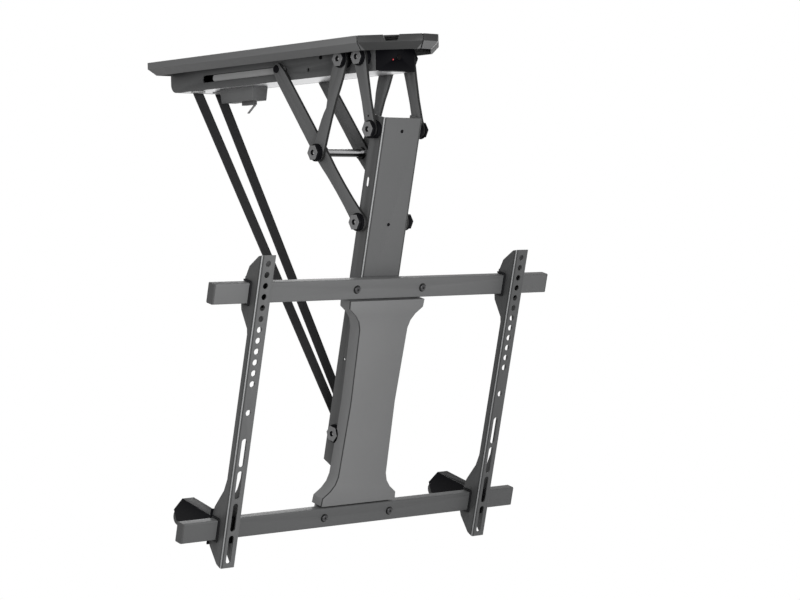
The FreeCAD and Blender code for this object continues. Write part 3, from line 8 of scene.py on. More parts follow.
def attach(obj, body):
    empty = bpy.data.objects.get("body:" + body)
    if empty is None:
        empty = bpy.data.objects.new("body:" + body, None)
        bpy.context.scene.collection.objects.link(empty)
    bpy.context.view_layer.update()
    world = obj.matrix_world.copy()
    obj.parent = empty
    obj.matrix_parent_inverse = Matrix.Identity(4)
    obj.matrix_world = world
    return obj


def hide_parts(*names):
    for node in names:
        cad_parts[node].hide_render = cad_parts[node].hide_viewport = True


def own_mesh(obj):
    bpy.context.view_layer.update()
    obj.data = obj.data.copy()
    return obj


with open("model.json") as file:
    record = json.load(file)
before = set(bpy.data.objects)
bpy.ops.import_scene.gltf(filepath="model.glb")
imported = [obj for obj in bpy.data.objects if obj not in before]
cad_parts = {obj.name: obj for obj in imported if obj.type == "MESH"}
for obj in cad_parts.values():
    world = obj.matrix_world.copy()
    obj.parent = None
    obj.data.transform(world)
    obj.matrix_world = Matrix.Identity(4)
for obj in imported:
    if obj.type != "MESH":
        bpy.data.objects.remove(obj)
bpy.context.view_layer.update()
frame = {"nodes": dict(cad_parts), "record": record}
NODES = frame["nodes"]
RECORD = frame["record"]
BODY_OF = {node: body for body, nodes in RECORD["behaviour"]["bodies"].items() for node in nodes}
SLOT_OF = {part["node"]: part["material_slot"] for part in RECORD["subparts"]}
MM = 0.001


# Camera: nearly level, from the front left, through a long lens

YAW = math.radians(41.003)
PITCH = math.radians(-1.114)
ROLL = math.radians(1.278)
CAMERA_PLACE = Vector((-2284.2, -2882.2, -318.3)) * MM
FOCAL_PIXELS = 2356.7
PICTURE_WIDTH = 800
SENSOR_WIDTH = 36
FAR_END = 50


def place_camera():
    forward = Vector((math.sin(YAW) * math.cos(PITCH), math.cos(YAW) * math.cos(PITCH), math.sin(PITCH)))
    level = Vector((math.cos(YAW), -math.sin(YAW), 0))
    down = forward.cross(level)
    right = level * math.cos(ROLL) + down * math.sin(ROLL)
    down = down * math.cos(ROLL) - level * math.sin(ROLL)
    turn = Matrix((right, -down, -forward)).transposed().to_4x4()
    bpy.ops.object.camera_add()
    camera = bpy.context.object
    camera.matrix_world = Matrix.Translation(CAMERA_PLACE) @ turn
    camera.data.sensor_width = SENSOR_WIDTH
    camera.data.lens = FOCAL_PIXELS * SENSOR_WIDTH / PICTURE_WIDTH
    camera.data.clip_end = FAR_END
    bpy.context.scene.camera = camera


place_camera()


# Material tools

class Value:
    """A socket of a material's node tree. Arithmetic on it adds Math nodes."""

    def __init__(self, finish, socket):
        self.finish = finish
        self.socket = socket

    def _math(self, operation, *values):
        node = self.finish.node("ShaderNodeMath", {"operation": operation}, **numbered(values))
        return Value(self.finish, node.outputs[0])

    def __add__(self, other):
        return self._math("ADD", self, other)

    def __mul__(self, other):
        return self._math("MULTIPLY", self, other)

    def __sub__(self, other):
        return self._math("SUBTRACT", self, other)

    def __rsub__(self, other):
        return self._math("SUBTRACT", other, self)

    def __pow__(self, other):
        return self._math("POWER", self, other)

    def above(self, other):
        return self._math("GREATER_THAN", self, other)

    def below(self, other):
        return self._math("LESS_THAN", self, other)

    def largest(self, other):
        return self._math("MAXIMUM", self, other)

    def wave(self):
        return self._math("SINE", self)

    def swell(self):
        """A wave between none and one."""
        return self.wave() * 0.5 + 0.5

    def size(self):
        return self._math("ABSOLUTE", self)


def numbered(values):
    """Values for a node's first sockets, under the names i0, i1 and so on."""
    return {f"i{number}": value for number, value in enumerate(values)}


def length(first, *rest):
    """The length of a vector, from its parts."""
    total = first * first
    for part in rest:
        total = total + part * part
    return total ** 0.5


class Finish:
    """A material with one Principled shader and a few procedural patterns."""

    def __init__(self, name, **settings):
        self.material = bpy.data.materials.new(name)
        self.material.use_nodes = True
        self.tree = self.material.node_tree
        self.shader = self.tree.nodes["Principled BSDF"]
        for socket, value in settings.items():
            self.shader.inputs[socket.replace("_", " ")].default_value = value

    def node(self, kind, settings=None, **inputs):
        """A node of a kind, with its settings first and then its sockets, by name or by number as i0, i1."""
        made = self.tree.nodes.new(kind)
        for key, value in (settings or {}).items():
            if key == "stops":
                ramp = made.color_ramp
                while len(ramp.elements) < len(value):
                    ramp.elements.new(0.5)
                for element, (at, colour) in zip(ramp.elements, value):
                    element.position = at
                    element.color = colour
            else:
                setattr(made, key, value)
        for key, value in inputs.items():
            if key[0] == "i" and key[1:].isdigit():
                socket = made.inputs[int(key[1:])]
            else:
                socket = made.inputs[key.replace("_", " ")]
            if isinstance(value, Value):
                self.tree.links.new(value.socket, socket)
            else:
                socket.default_value = value
        return made

    def place(self):
        node = self.node("ShaderNodeTexCoord")
        return Value(self, node.outputs["Object"])

    def uv(self):
        node = self.node("ShaderNodeTexCoord")
        return Value(self, node.outputs["UV"])

    def attribute(self, name):
        node = self.node("ShaderNodeAttribute", {"attribute_name": name})
        return Value(self, node.outputs["Fac"])

    def parts(self, vector):
        node = self.node("ShaderNodeSeparateXYZ", None, i0=vector)
        return [Value(self, output) for output in node.outputs]

    def stretched(self, vector, scale):
        node = self.node("ShaderNodeMapping", None, Vector=vector, Scale=scale)
        return Value(self, node.outputs[0])

    def noise(self, vector, scale, detail=2.0, roughness=0.5):
        node = self.node(
            "ShaderNodeTexNoise", None, Vector=vector, Scale=scale, Detail=detail, Roughness=roughness,
        )
        return Value(self, node.outputs["Fac"])

    def spread(self, value, low, high, start=0, end=1):
        """Maps a pattern that goes from start to end onto a range."""
        node = self.node("ShaderNodeMapRange", None, Value=value, From_Min=start, From_Max=end)
        node.inputs["To Min"].default_value = low
        node.inputs["To Max"].default_value = high
        return Value(self, node.outputs[0])

    def near(self, distance, reach):
        """One up to half a reach away, and falling to none at the whole reach."""
        return self.spread(distance, 1, 0, start=reach * 0.5, end=reach)

    def between(self, factor, first, second):
        """Mixes two colours, each of them three numbers or a pattern of shades."""
        first, second = [side if isinstance(side, Value) else (*side, 1) for side in (first, second)]
        # A Mix node takes its colours at sockets 6 and 7, and its third output is the mixed colour
        node = self.node("ShaderNodeMix", {"data_type": "RGBA"}, i0=factor, i6=first, i7=second)
        return Value(self, node.outputs[2])

    def drive(self, socket, value):
        self.tree.links.new(value.socket, self.shader.inputs[socket])

    def bump(self, height, strength, distance):
        node = self.node("ShaderNodeBump", None, Height=height, Strength=strength, Distance=distance)
        self.tree.links.new(node.outputs[0], self.shader.inputs["Normal"])


def shades(colour, spread):
    """A darker and a lighter version of a colour."""
    return [times(colour, factor) for factor in (1 - spread, 1 + spread)]


def times(colour, factor):
    """A colour made lighter or darker, up to white."""
    return tuple(min(1, part * factor) for part in colour)


# Powder coat, with painted highlights and shade at its folds, sides, nose, rim and screws, and darker cut
# edges

# The column's tilted frame starts at the knee
KNEE_Y = -216 * MM
KNEE_Z = -269.5 * MM
TILT = math.radians(14.5)
COAT_ROUGHNESS = 0.5
BEND_SHADE = 4.2 * MM
BEND_SHINE = 1.2 * MM
RIM_WIDTH = 1.6 * MM
FLANK_REACH = 0.3 * MM
EDGE_EASE = 0.12 * MM
SCREW_X = 64 * MM
SCREW_SHADOW_RADIUS = 6.8 * MM
NOSE_START = -265 * MM
NOSE_HALF = 14.5 * MM
SKIRT_LOW = -10.4 * MM
# How light each mark is, as a share of the coat's own colour, and how strongly the painted highlight on a
# fold is laid over it
NOSE_SHADE_SHARE = 0.24
LIP_SHADE_SHARE = 0.72
FLANK_SHADE_SHARE = 0.68
SCREW_SHADOW_SHARE = 0.06
RIM_SHADE_SHARE = 0.15
EDGE_SHARE = 0.16
BEND_SHADE_SHARE = 0.3
BEND_HIGHLIGHT_SHARE = 3.2
BEND_HIGHLIGHT_COVER = 0.8
NOSE_INSIDE_GREY = (0.4, 0.4, 0.4)


class PowderCoat(Finish):
    """A fine orange peel with slow changes of shade. Each mark is laid over the last, and done() ends it."""

    def __init__(self, name, colour):
        super().__init__(name, Specular_IOR_Level=0.25, Coat_Weight=0.06, Coat_Roughness=0.25)
        self.colour = colour
        self.point = self.place()
        self.across, self.deep, self.high = self.parts(self.point)
        self.peel = self.noise(self.point, scale=700, detail=3, roughness=0.6)
        cloud = self.noise(self.point, scale=14, detail=3)
        self.shade = self.between(cloud * 0.6 + self.peel * 0.4, *shades(colour, spread=0.07))

    def mark(self, factor, share):
        """Lays a lighter or darker version of the coat's own colour where the factor is one."""
        self.shade = self.between(factor, self.shade, times(self.colour, share))

    def depth(self):
        """How far a point lies behind the knee, square to the tilted column's face."""
        return (self.deep - KNEE_Y) * math.cos(TILT) + (self.high - KNEE_Z) * math.sin(TILT)

    def nose(self):
        """Painted shade on the tray's nose facets and side lips, and a light grey on the inside of its nose.
        """
        skirt = self.high.above(SKIRT_LOW)
        front = self.deep.below(NOSE_START)
        facets = skirt.largest(self.across.size().above(NOSE_HALF))
        self.mark(facets * front, NOSE_SHADE_SHARE)
        self.mark((1 - skirt) * (1 - front), LIP_SHADE_SHARE)
        self.shade = self.between(self.attribute("inside"), self.shade, NOSE_INSIDE_GREY)
        return self

    def flank(self, x):
        """A side face at a place on X, darker as painted shade."""
        self.mark((self.across - x * MM).size().below(FLANK_REACH), FLANK_SHADE_SHARE)
        return self

    def screw_rings(self, y, z):
        """A ring of painted shadow round each screw head of a pair."""
        away = length(self.across.size() - SCREW_X, self.deep - y * MM, self.high - z * MM)
        self.mark(away.below(SCREW_SHADOW_RADIUS), SCREW_SHADOW_SHARE)
        return self

    def rim(self, depth):
        """A dark line of painted shade round a pan's wall."""
        self.mark(self.near((self.depth() - depth * MM).size(), RIM_WIDTH), RIM_SHADE_SHARE)
        return self

    def bend(self, x, depth):
        """A folded corner: a painted highlight line between two lines of painted shade."""
        away = length(self.across - x * MM, self.depth() - depth * MM)
        self.mark(self.near(away, BEND_SHADE), BEND_SHADE_SHARE)
        self.mark(self.near(away, BEND_SHINE) * BEND_HIGHLIGHT_COVER, BEND_HIGHLIGHT_SHARE)
        return self

    def cut_edges(self, face, thickness):
        """The dark cut edges of a sheet, from where its nearer face lies on X and its thickness."""
        inside = (self.across.size() - (face + thickness / 2) * MM).size()
        self.mark((inside + EDGE_EASE).below(thickness / 2 * MM), EDGE_SHARE)
        return self

    def done(self):
        worn = self.noise(self.point, scale=90, detail=3)
        self.drive("Base Color", self.shade)
        self.drive("Roughness", self.spread(worn, low=COAT_ROUGHNESS - 0.05, high=COAT_ROUGHNESS + 0.07))
        self.bump(self.peel, strength=0.22, distance=0.25 * MM)
        return self.material


# Other finishes

STRAP_WIDTH = 17 * MM
RIB_PITCH = 1.4 * MM
PICK_PITCH = 1.1 * MM
TWILL_PITCH = 2.8 * MM
TWILL_LEAN = 1.6
STITCH_START = 0.44 * STRAP_WIDTH
ROD_HEIGHT = -163 * MM
ROD_RADIUS = 6 * MM
ROD_SHIMMER = 0.6 * MM
# Painted reflection bands on the rod: heights from its bottom, as shares, and the colour from there on
ROD_REFLECTION_BANDS = (
    (0, (0.03, 0.03, 0.03)), (0.42, (0.07, 0.07, 0.07)), (0.55, (0.85, 0.85, 0.86)), (0.82, (0.8, 0.8, 0.81)),
    (0.92, (0.08, 0.08, 0.08)),
)


def brushed_metal(name, colour, roughness, along=(1, 1, 1), metallic=1.0):
    """Plated steel with fine drawn lines and faint cloudy patches."""
    finish = Finish(name, Metallic=metallic)
    place = finish.place()
    lines = finish.noise(finish.stretched(place, along), scale=900, detail=4, roughness=0.7)
    patches = finish.noise(place, scale=60, detail=3)
    wear = lines * 0.5 + patches * 0.5
    finish.drive("Base Color", finish.between(wear, *shades(colour, spread=0.14)))
    finish.drive("Roughness", finish.spread(wear, low=roughness - 0.08, high=roughness + 0.12))
    finish.bump(lines, strength=0.12, distance=0.1 * MM)
    return finish.material


def moulded(name, colour, roughness, shine=0.2, grain=0.25):
    """Moulded plastic, rubber or black oxide with a fine spark-eroded grain."""
    finish = Finish(name, Specular_IOR_Level=shine)
    place = finish.place()
    fine = finish.noise(place, scale=1100, detail=2)
    cloud = finish.noise(place, scale=30, detail=2)
    finish.drive("Base Color", finish.between(cloud, *shades(colour, spread=0.12)))
    wear = fine * 0.5 + cloud * 0.5
    finish.drive("Roughness", finish.spread(wear, low=roughness - 0.06, high=roughness + 0.06))
    finish.bump(fine, strength=grain, distance=0.15 * MM)
    return finish.material


# What a bolt's attribute "tone" holds on its body, its outer face and the depth of its socket
BODY_TONE = 0
FACE_TONE = 0.5
SOCKET_TONE = 1


def bolt_head(name, face, rest, glint):
    """A black bolt with a grey head face and a painted glint deep in its socket, told apart by the attribute
    tone.
    """
    finish = Finish(name, Specular_IOR_Level=0.1, Coat_Weight=0.0)
    tone = finish.attribute("tone")
    turned = finish.noise(finish.place(), scale=800, detail=3, roughness=0.6)
    shade = finish.between(turned, *shades(face, spread=0.12))
    shade = finish.between(tone.below((BODY_TONE + FACE_TONE) / 2), shade, rest)
    shade = finish.between(tone.above((FACE_TONE + SOCKET_TONE) / 2), shade, glint)
    finish.drive("Base Color", shade)
    finish.drive("Roughness", finish.spread(turned, low=0.4, high=0.55))
    finish.bump(turned, strength=0.12, distance=0.1 * MM)
    return finish.material


def lamp_lens(name, colour, glow):
    """A clear coloured lens that glows a little."""
    finish = Finish(name, Roughness=0.12, Coat_Weight=0.6, Emission_Strength=glow)
    ripple = finish.noise(finish.place(), scale=500, detail=1)
    shade = finish.between(ripple, *shades(colour, spread=0.2))
    finish.drive("Base Color", shade)
    finish.drive("Emission Color", shade)
    return finish.material


def webbing(name, colour):
    """Woven strap: a herringbone of flat yarns across the width, with a lighter stitched edge."""
    finish = Finish(name, Sheen_Weight=0.06, Sheen_Roughness=0.5, Specular_IOR_Level=0.06)
    across, along, _ = finish.parts(finish.uv())
    turn = 2 * math.pi
    twill = (across * (turn / TWILL_PITCH)).wave() * TWILL_LEAN
    rib = (across * (turn / RIB_PITCH)).swell()
    pick = (along * (turn / PICK_PITCH) + twill).swell()
    weave = rib * 0.45 + pick * 0.55
    edge = (across - STRAP_WIDTH / 2).size().above(STITCH_START)
    fuzz = finish.noise(finish.place(), scale=1500, detail=2)
    light = weave * 0.5 + fuzz * 0.2 + edge * 0.3
    finish.drive("Base Color", finish.between(light, *shades(colour, spread=0.4)))
    finish.drive("Roughness", finish.spread(fuzz, low=0.62, high=0.82))
    finish.bump(weave, strength=0.5, distance=0.3 * MM)
    return finish.material


def turned_chrome(name):
    """Polished rod with a painted reflection: a bright band along its upper front between darker ones."""
    finish = Finish(name, Metallic=1.0)
    place = finish.place()
    height = finish.parts(place)[2]
    wear = finish.noise(finish.stretched(place, (0.1, 1, 1)), scale=700, detail=3)
    bottom, top = ROD_HEIGHT - ROD_RADIUS, ROD_HEIGHT + ROD_RADIUS
    level = finish.spread(height + wear * ROD_SHIMMER, low=0, high=1, start=bottom, end=top)
    stops = [(at, (*colour, 1)) for at, colour in ROD_REFLECTION_BANDS]
    ramp = finish.node("ShaderNodeValToRGB", {"stops": stops}, Fac=level)
    finish.drive("Base Color", Value(finish, ramp.outputs[0]))
    finish.drive("Roughness", finish.spread(wear, low=0.12, high=0.24))
    return finish.material


def circuit_board(name):
    finish = Finish(name, Roughness=0.35, Coat_Weight=0.3)
    cells = finish.node("ShaderNodeTexBrick", None, Vector=finish.place(), Scale=160)
    tracks = Value(finish, cells.outputs["Fac"])
    finish.drive("Base Color", finish.between(tracks, (0.012, 0.09, 0.03), (0.05, 0.2, 0.07)))
    finish.bump(tracks, strength=0.2, distance=0.1 * MM)
    return finish.material


FINISHES = {
    "zinc": brushed_metal("bright_zinc", (0.78, 0.78, 0.79), roughness=0.34, along=(1, 0.08, 1)),
    "bolt": brushed_metal("satin_bolt", (0.13, 0.13, 0.132), roughness=0.34, metallic=0.35),
    "black_steel": moulded("black_oxide", (0.004, 0.004, 0.005), roughness=0.5, shine=0.04, grain=0.15),
    "chrome": turned_chrome("chrome"),
    "black_gloss": moulded("gloss_black", (0.003, 0.003, 0.004), roughness=0.3, shine=0.06, grain=0.05),
    "black_plastic": moulded("matt_black", (0.01, 0.01, 0.011), roughness=0.45, shine=0.12),
    "grey_plastic": moulded("grey_grommet", (0.36, 0.36, 0.36), roughness=0.5, shine=0.4),
    "red_lens": lamp_lens("red_lamp", (0.4, 0.012, 0.02), glow=0.15),
    "dark_lens": moulded("receiver_window", (0.006, 0.005, 0.005), roughness=0.3, shine=0.1, grain=0.05),
    "rubber": moulded("black_rubber", (0.06, 0.06, 0.06), roughness=0.6, grain=0.3),
    "strap": webbing("strap_webbing", (0.029, 0.029, 0.03)),
    "board": circuit_board("circuit_board"),
}
# Where the marks lie, in millimetres: sheet faces and sides on X, bends and the rim as depths in the column's
# frame, and the screws on Y and Z
OUTER_LINK_FACE = 44.5
INNER_LINK_FACE = 39
LINK_SHEET = 4.5
COLUMN_SIDE = 37.5
COLUMN_BEND_IN = 0.9
COLUMN_BEND_DEPTH = -16.1
LEFT_ARM_SIDE = -262.5
RIGHT_ARM_SIDE = 231
ARM_BEND_IN = 0.7
ARM_BEND_DEPTH = -58.4
PAN_RIM_DEPTH = -39.4
UPPER_SCREWS = (-234.9, -369.5)
LOWER_SCREWS = (-146.5, -711.3)


# The column's copy of the dark coat, its shade set for the light it gets, with painted shade on its side and
# painted highlights on its folds
def column_coat():
    coat = PowderCoat("column_coat", (0.098, 0.099, 0.1)).flank(-COLUMN_SIDE)
    for side in (-1, 1):
        coat.bend(side * (COLUMN_SIDE - COLUMN_BEND_IN), COLUMN_BEND_DEPTH)
    return coat.done()


def arm_coat(name, colour, side):
    return PowderCoat(name, colour).flank(side).bend(side + ARM_BEND_IN, ARM_BEND_DEPTH).done()


# The links' copy of the dark coat, darkened as painted shade
LINK_SHADE = (0.094, 0.095, 0.096)
OUTER_LINK = PowderCoat("outer_link_coat", LINK_SHADE).cut_edges(OUTER_LINK_FACE, LINK_SHEET).done()
INNER_LINK = PowderCoat("inner_link_coat", LINK_SHADE).cut_edges(INNER_LINK_FACE, LINK_SHEET).done()
BOLT_HEAD = bolt_head(
    "grey_faced_black_bolt", face=(0.16, 0.16, 0.162), rest=(0.006, 0.006, 0.007), glint=(0.6, 0.6, 0.6),
)
# Pieces with a finish of their own. The coats of the tray, channel, column, links, pan, rails and arms are
# copies of one dark coat, each made lighter or darker as painted light and shade for its piece: the channel
# darker for the tray's shadow, the lower rail darker than the upper one, the right arm darker than the left,
# the pan lighter
OWN_FINISH = {
    "ceiling_tray": PowderCoat("tray_coat", (0.12, 0.121, 0.122)).nose().done(),
    "channel": PowderCoat("channel_coat_painted_shadow", (0.07, 0.071, 0.072)).done(),
    "switch_box": PowderCoat("box_coat", (0.105, 0.106, 0.107)).done(),
    "guide_bars": PowderCoat("guide_coat", (0.3, 0.301, 0.302)).done(),
    "cranks": OUTER_LINK,
    "main_arms": INNER_LINK,
    "struts": OUTER_LINK,
    "ceiling_pivot_bolts": BOLT_HEAD,
    "elbow_bolts": BOLT_HEAD,
    "knee_bolts": BOLT_HEAD,
    "shoulder_bolts": BOLT_HEAD,
    "axle_bolts": BOLT_HEAD,
    "column": column_coat(),
    "adapter_plate": PowderCoat("pan_coat_painted_light", (0.143, 0.144, 0.145)).rim(PAN_RIM_DEPTH).done(),
    "upper_rail": PowderCoat("upper_rail_coat", (0.108, 0.109, 0.11)).screw_rings(*UPPER_SCREWS).done(),
    "lower_rail": PowderCoat("lower_rail_coat_painted_shade", (0.082, 0.083, 0.084)).screw_rings(*LOWER_SCREWS).done(),
    "screen_arm_left": arm_coat("left_arm_coat", (0.1, 0.101, 0.102), LEFT_ARM_SIDE),
    "screen_arm_right": arm_coat("right_arm_coat_painted_shade", (0.078, 0.079, 0.08), RIGHT_ARM_SIDE),
    "rail_caps": moulded("cap_plastic", (0.07, 0.07, 0.071), roughness=0.5),
    "rail_screws": brushed_metal("button_screw", (0.05, 0.05, 0.052), roughness=0.3, metallic=0.5),
    "switch_lever": brushed_metal("lever_wire", (0.16, 0.16, 0.162), roughness=0.4, metallic=0.6),
    "limit_switch": moulded("switch_case", (0.09, 0.09, 0.092), roughness=0.5),
    "side_rivets": FINISHES["black_steel"],
}


def finish_of(node):
    if node in OWN_FINISH:
        return OWN_FINISH[node]
    return FINISHES[SLOT_OF[node]]


for name, node in NODES.items():
    for place in node.material_slots:
        place.material = finish_of(name)


# Pieces

def nothing_selected():
    if bpy.context.object and bpy.context.object.mode != "OBJECT":
        bpy.ops.object.mode_set(mode="OBJECT")
    bpy.ops.object.select_all(action="DESELECT")


def only(piece):
    nothing_selected()
    piece.select_set(True)
    bpy.context.view_layer.objects.active = piece


def finish_modifiers(piece):
    only(piece)
    for modifier in list(piece.modifiers):
        bpy.ops.object.modifier_apply(modifier=modifier.name)


def place_piece(piece, node):
    """The piece rides where a CAD node rides, stands for it and has its finish."""
    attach(piece, BODY_OF[node])
    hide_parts(node)
    piece.data.materials.clear()
    piece.data.materials.append(finish_of(node))


MERGE_REACH = 0.01 * MM
FLAT_ANGLE = math.radians(1.5)
CORNER_ANGLE = math.radians(28)
SMOOTH_ANGLE = math.radians(32)
EASE_STEPS = 2


def eased(node, width):
    """A node's shape with its corners eased by a small radius, as folded and coated steel has them."""
    piece = bpy.data.objects.new(node + "_eased", NODES[node].data.copy())
    bpy.context.collection.objects.link(piece)
    only(piece)
    bpy.ops.object.mode_set(mode="EDIT")
    bpy.ops.mesh.select_all(action="SELECT")
    bpy.ops.mesh.remove_doubles(threshold=MERGE_REACH)
    bpy.ops.mesh.dissolve_limited(angle_limit=FLAT_ANGLE)
    bpy.ops.object.mode_set(mode="OBJECT")
    bevel = piece.modifiers.new("ease", "BEVEL")
    bevel.width = width
    bevel.segments = EASE_STEPS
    bevel.limit_method = "ANGLE"
    bevel.angle_limit = CORNER_ANGLE
    bevel.harden_normals = False
    finish_modifiers(piece)
    bpy.ops.object.shade_smooth_by_angle(angle=SMOOTH_ANGLE)
    place_piece(piece, node)
    return piece


# How much each node's corners are eased, in millimetres
EASED = {
    "ceiling_tray": 0.5, "channel": 0.5, "front_cap": 0.5, "rear_cap": 0.4, "switch_box": 0.7,
    "cranks": 0.35, "main_arms": 0.35, "struts": 0.35, "column": 0.35, "adapter_plate": 0.8,
    "screen_arm_left": 0.35, "screen_arm_right": 0.35, "arm_clamps_left": 0.3, "arm_clamps_right": 0.3,
    "bumper_left": 1.0, "bumper_right": 1.0, "rail_caps": 0.4, "upper_rail": 0.3, "lower_rail": 0.3,
    "arm_saddles_left": 0.5, "arm_saddles_right": 0.5, "ceiling_pivot_bolts": 0.15, "elbow_bolts": 0.15,
    "knee_bolts": 0.15, "shoulder_bolts": 0.15, "axle_bolts": 0.15, "ceiling_pivot_rings": 0.4,
    "elbow_rings": 0.4, "column_rings": 0.4, "shoulder_rings": 0.3, "strap_guides": 0.4, "slide_pins": 0.4,
}
# How far out on X the faces of the bolts' heads lie, in millimetres
HEAD_FACES = {
    "ceiling_pivot_bolts": 56, "elbow_bolts": 58.5, "knee_bolts": 53.5, "shoulder_bolts": 55,
    "axle_bolts": 44,
}
# The pivots' places on Y and Z: two on the ceiling, then elbow, knee, shoulder and strap axle
PIVOTS = [Vector(place) * MM for place in (
    (-189, -27), (-232, -27), (-129, -163), (-216, -269.5), (-253, -134.5), (-141.4, -585.9),
)]
SOCKET_RADIUS = 2.9 * MM
SOCKET_STEP = 3.1 * MM
HEAD_HEIGHT = 5.4 * MM
FACE_REACH = 0.3 * MM
FACING = 0.7
LEVEL = 0.8


def mark_head(piece, head_face):
    """Marks a bolt's outer face and the deeper half of its socket, for its finish to tell them apart."""
    tone = piece.data.attributes.new("tone", "FLOAT", "FACE")
    for face in piece.data.polygons:
        depth = head_face - abs(face.center.x)
        outwards = face.normal.x * math.copysign(1, face.center.x) > FACING
        middle = min(PIVOTS, key=lambda pivot: (face.center.yz - pivot).length)
        radius = (face.center.yz - middle).length
        if outwards and depth < FACE_REACH:
            tone.data[face.index].value = FACE_TONE
        elif radius < SOCKET_RADIUS and SOCKET_STEP < depth < HEAD_HEIGHT:
            tone.data[face.index].value = SOCKET_TONE


def mark_nose_inside(piece):
    """Marks the inner faces of the tray's nose, which its finish makes light grey."""
    inside = piece.data.attributes.new("inside", "FLOAT", "FACE")
    for face in piece.data.polygons:
        inwards = face.center.x * face.normal.x < 0
        if inwards and face.center.y < NOSE_START and abs(face.normal.z) < LEVEL:
            inside.data[face.index].value = 1


for name, width in EASED.items():
    piece = eased(name, width * MM)
    if name == "ceiling_tray":
        mark_nose_inside(piece)
    if name in HEAD_FACES:
        mark_head(piece, HEAD_FACES[name] * MM)


# Straps: flat webbing, eased at its edges

STRAP_TOP = Vector((22.0, 205.7, -51.5)) * MM
STRAP_FOOT_X = 9.2 * MM
STRAP_LENGTH = 637.1 * MM
STRAP_ANGLE = math.radians(-121.84)
STRAP_THICKNESS = 1.8 * MM
STRAP_TAPER = 3 * MM
STRAP_EASE = 0.6 * MM
STRAP_STEPS = 120
STRAP_CORNER = math.radians(60)
STRAP_SMOOTH = math.radians(40)
ACROSS_STEPS = 8
LEAD_Y = 204.5 * MM
LEAD_TOP = -31 * MM
LEAD_LOW = -50.2 * MM
LEAD_EASE = 0.5 * MM
LEAD_STEPS = 6
SPOOL_CENTRE = Vector((0, 217.7, -31)) * MM
COIL_INNER = 8.7 * MM
COIL_OUTER = 11.4 * MM
COIL_TURNS = 2
COIL_SHEET = 1.2 * MM
COIL_EASE = 0.3 * MM
TURN_STEPS = 48


def band(name, node, path, thickness, edge, taper=0):
    """A strap whose middle line follows a path of points, with its width along X.

    The taper is how much wider the strap lies at its start, where it is pressed flat.
    """
    nothing_selected()
    last = len(path) - 1
    bpy.ops.mesh.primitive_grid_add(
        x_subdivisions=ACROSS_STEPS, y_subdivisions=last, size=1, location=(0, 0, 0),
    )
    strap = bpy.context.object
    strap.name = name
    lengths = [0]
    for first, second in zip(path, path[1:]):
        lengths.append(lengths[-1] + (second - first).length)
    steps = [round((vertex.co.y + 0.5) * last) for vertex in strap.data.vertices]
    layer = strap.data.uv_layers.active or strap.data.uv_layers.new(name="UVMap")
    for corner in strap.data.loops:
        point = strap.data.vertices[corner.vertex_index].co
        layer.data[corner.index].uv = ((point.x + 0.5) * STRAP_WIDTH, lengths[steps[corner.vertex_index]])
    for vertex, step in zip(strap.data.vertices, steps):
        width = STRAP_WIDTH + taper * (1 - step / last)
        vertex.co = path[step] + Vector((vertex.co.x * width, 0, 0))
    body = strap.modifiers.new("thickness", "SOLIDIFY")
    body.thickness = thickness
    body.offset = 0
    ease = strap.modifiers.new("edge", "BEVEL")
    ease.width = edge
    ease.segments = EASE_STEPS
    ease.angle_limit = STRAP_CORNER
    finish_modifiers(strap)
    bpy.ops.object.shade_smooth_by_angle(angle=STRAP_SMOOTH)
    place_piece(strap, node)
    return strap


def make_straps(side, hand):
    """One strap: the length from guide to anchor, the lead in the channel and the coil on the drum."""
    line = Vector((0, math.cos(STRAP_ANGLE), math.sin(STRAP_ANGLE)))
    top = Vector((side * STRAP_TOP.x, STRAP_TOP.y, STRAP_TOP.z))
    inwards = Vector((side * (STRAP_FOOT_X - STRAP_TOP.x), 0, 0))
    shares = [step / STRAP_STEPS for step in range(STRAP_STEPS + 1)]
    path = [top + line * (STRAP_LENGTH * share) + inwards * share for share in shares]
    strap = band("strap_webbing_" + hand, "straps", path, STRAP_THICKNESS, STRAP_EASE, STRAP_TAPER)
    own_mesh(strap)
    drop = (LEAD_LOW - LEAD_TOP) / LEAD_STEPS
    lead = [Vector((top.x, LEAD_Y, LEAD_TOP + drop * step)) for step in range(LEAD_STEPS + 1)]
    band("strap_lead_webbing_" + hand, "strap_leads", lead, STRAP_THICKNESS, LEAD_EASE)
    coil = []
    count = TURN_STEPS * COIL_TURNS
    for step in range(count + 1):
        share = step / count
        turn = 2 * math.pi * COIL_TURNS * share
        radius = COIL_INNER + (COIL_OUTER - COIL_INNER) * share
        coil.append(SPOOL_CENTRE + Vector((top.x, radius * math.cos(turn), radius * math.sin(turn))))
    band("strap_coil_webbing_" + hand, "strap_coils", coil, COIL_SHEET, COIL_EASE)


make_straps(-1, "left")
make_straps(1, "right")


# Floor, backdrop and light

FLOOR_SIZE = 40
FLOOR_HEIGHT = -1.35
FLOOR_GREY = 0.4
WORLD_STRENGTH = 0.5
WHITE = (1, 1, 1, 1)
MIDDLE = (0, -0.1, -0.35)


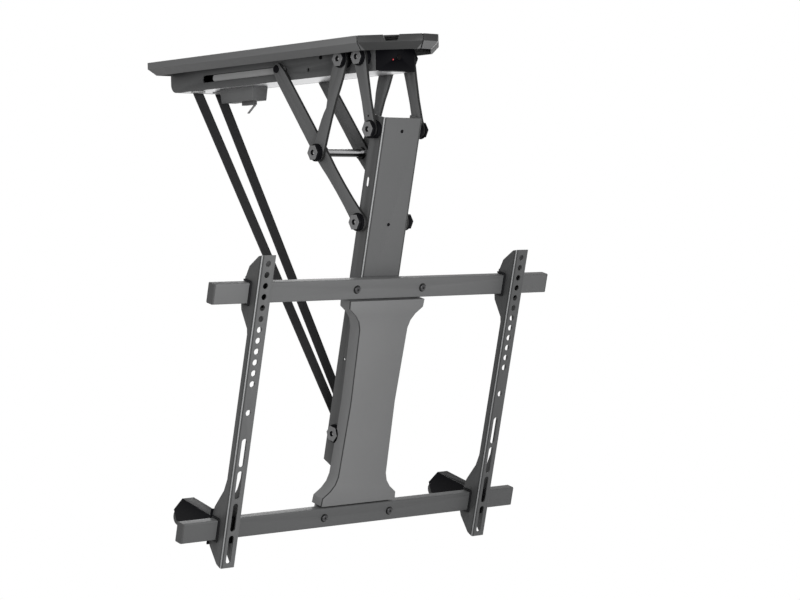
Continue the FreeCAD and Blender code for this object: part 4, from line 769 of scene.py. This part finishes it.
def pale_stage():
    """A plain pale floor that shows white to the camera and keeps a faint shadow."""
    nothing_selected()
    bpy.ops.mesh.primitive_plane_add(size=FLOOR_SIZE, location=(0, 0, FLOOR_HEIGHT))
    floor = bpy.context.object
    floor.name = "floor"
    finish = Finish("floor_paint", Roughness=0.9, Specular_IOR_Level=0.1)
    finish.shader.inputs["Base Color"].default_value = (FLOOR_GREY, FLOOR_GREY, FLOOR_GREY, 1)
    rays = finish.node("ShaderNodeLightPath")
    seen = Value(finish, rays.outputs["Is Camera Ray"]).largest(Value(finish, rays.outputs["Is Glossy Ray"]))
    seen = seen.largest(Value(finish, rays.outputs["Is Transmission Ray"]))
    white = finish.node("ShaderNodeEmission", None, Color=WHITE, Strength=1.0)
    mix = finish.node("ShaderNodeMixShader")
    finish.tree.links.new(seen.socket, mix.inputs[0])
    finish.tree.links.new(finish.shader.outputs[0], mix.inputs[1])
    finish.tree.links.new(white.outputs[0], mix.inputs[2])
    finish.tree.links.new(mix.outputs[0], finish.tree.nodes["Material Output"].inputs[0])
    floor.data.materials.append(finish.material)


def soft_light(name, place, target, size, power):
    bpy.ops.object.light_add(type="AREA", location=place)
    lamp = bpy.context.object
    lamp.name = name
    lamp.data.size = size
    lamp.data.energy = power
    lamp.rotation_mode = "QUATERNION"
    lamp.rotation_quaternion = (Vector(target) - Vector(place)).to_track_quat("-Z", "Y")


def light_scene():
    """White all round to the camera, a dimmer world to light by, and three soft lamps."""
    world = bpy.data.worlds.new("studio")
    bpy.context.scene.world = world
    world.use_nodes = True
    tree = world.node_tree
    base = tree.nodes["Background"]
    base.inputs["Color"].default_value = WHITE
    base.inputs["Strength"].default_value = WORLD_STRENGTH
    seen = tree.nodes.new("ShaderNodeBackground")
    seen.inputs["Color"].default_value = WHITE
    rays = tree.nodes.new("ShaderNodeLightPath")
    either = tree.nodes.new("ShaderNodeMath")
    either.operation = "MAXIMUM"
    tree.links.new(rays.outputs["Is Camera Ray"], either.inputs[0])
    tree.links.new(rays.outputs["Is Transmission Ray"], either.inputs[1])
    mix = tree.nodes.new("ShaderNodeMixShader")
    tree.links.new(either.outputs[0], mix.inputs[0])
    tree.links.new(base.outputs[0], mix.inputs[1])
    tree.links.new(seen.outputs[0], mix.inputs[2])
    tree.links.new(mix.outputs[0], tree.nodes["World Output"].inputs[0])
    soft_light("key", place=(-0.5, -1.7, -0.3), target=(0, -0.1, -0.42), size=0.8, power=24)
    soft_light("fill", place=(-3.2, -0.6, 0.5), target=MIDDLE, size=1.6, power=34)
    soft_light("back", place=(1.5, 2.5, 1.2), target=MIDDLE, size=1.6, power=40)


pale_stage()
light_scene()
bpy.context.scene.view_settings.view_transform = "Standard"
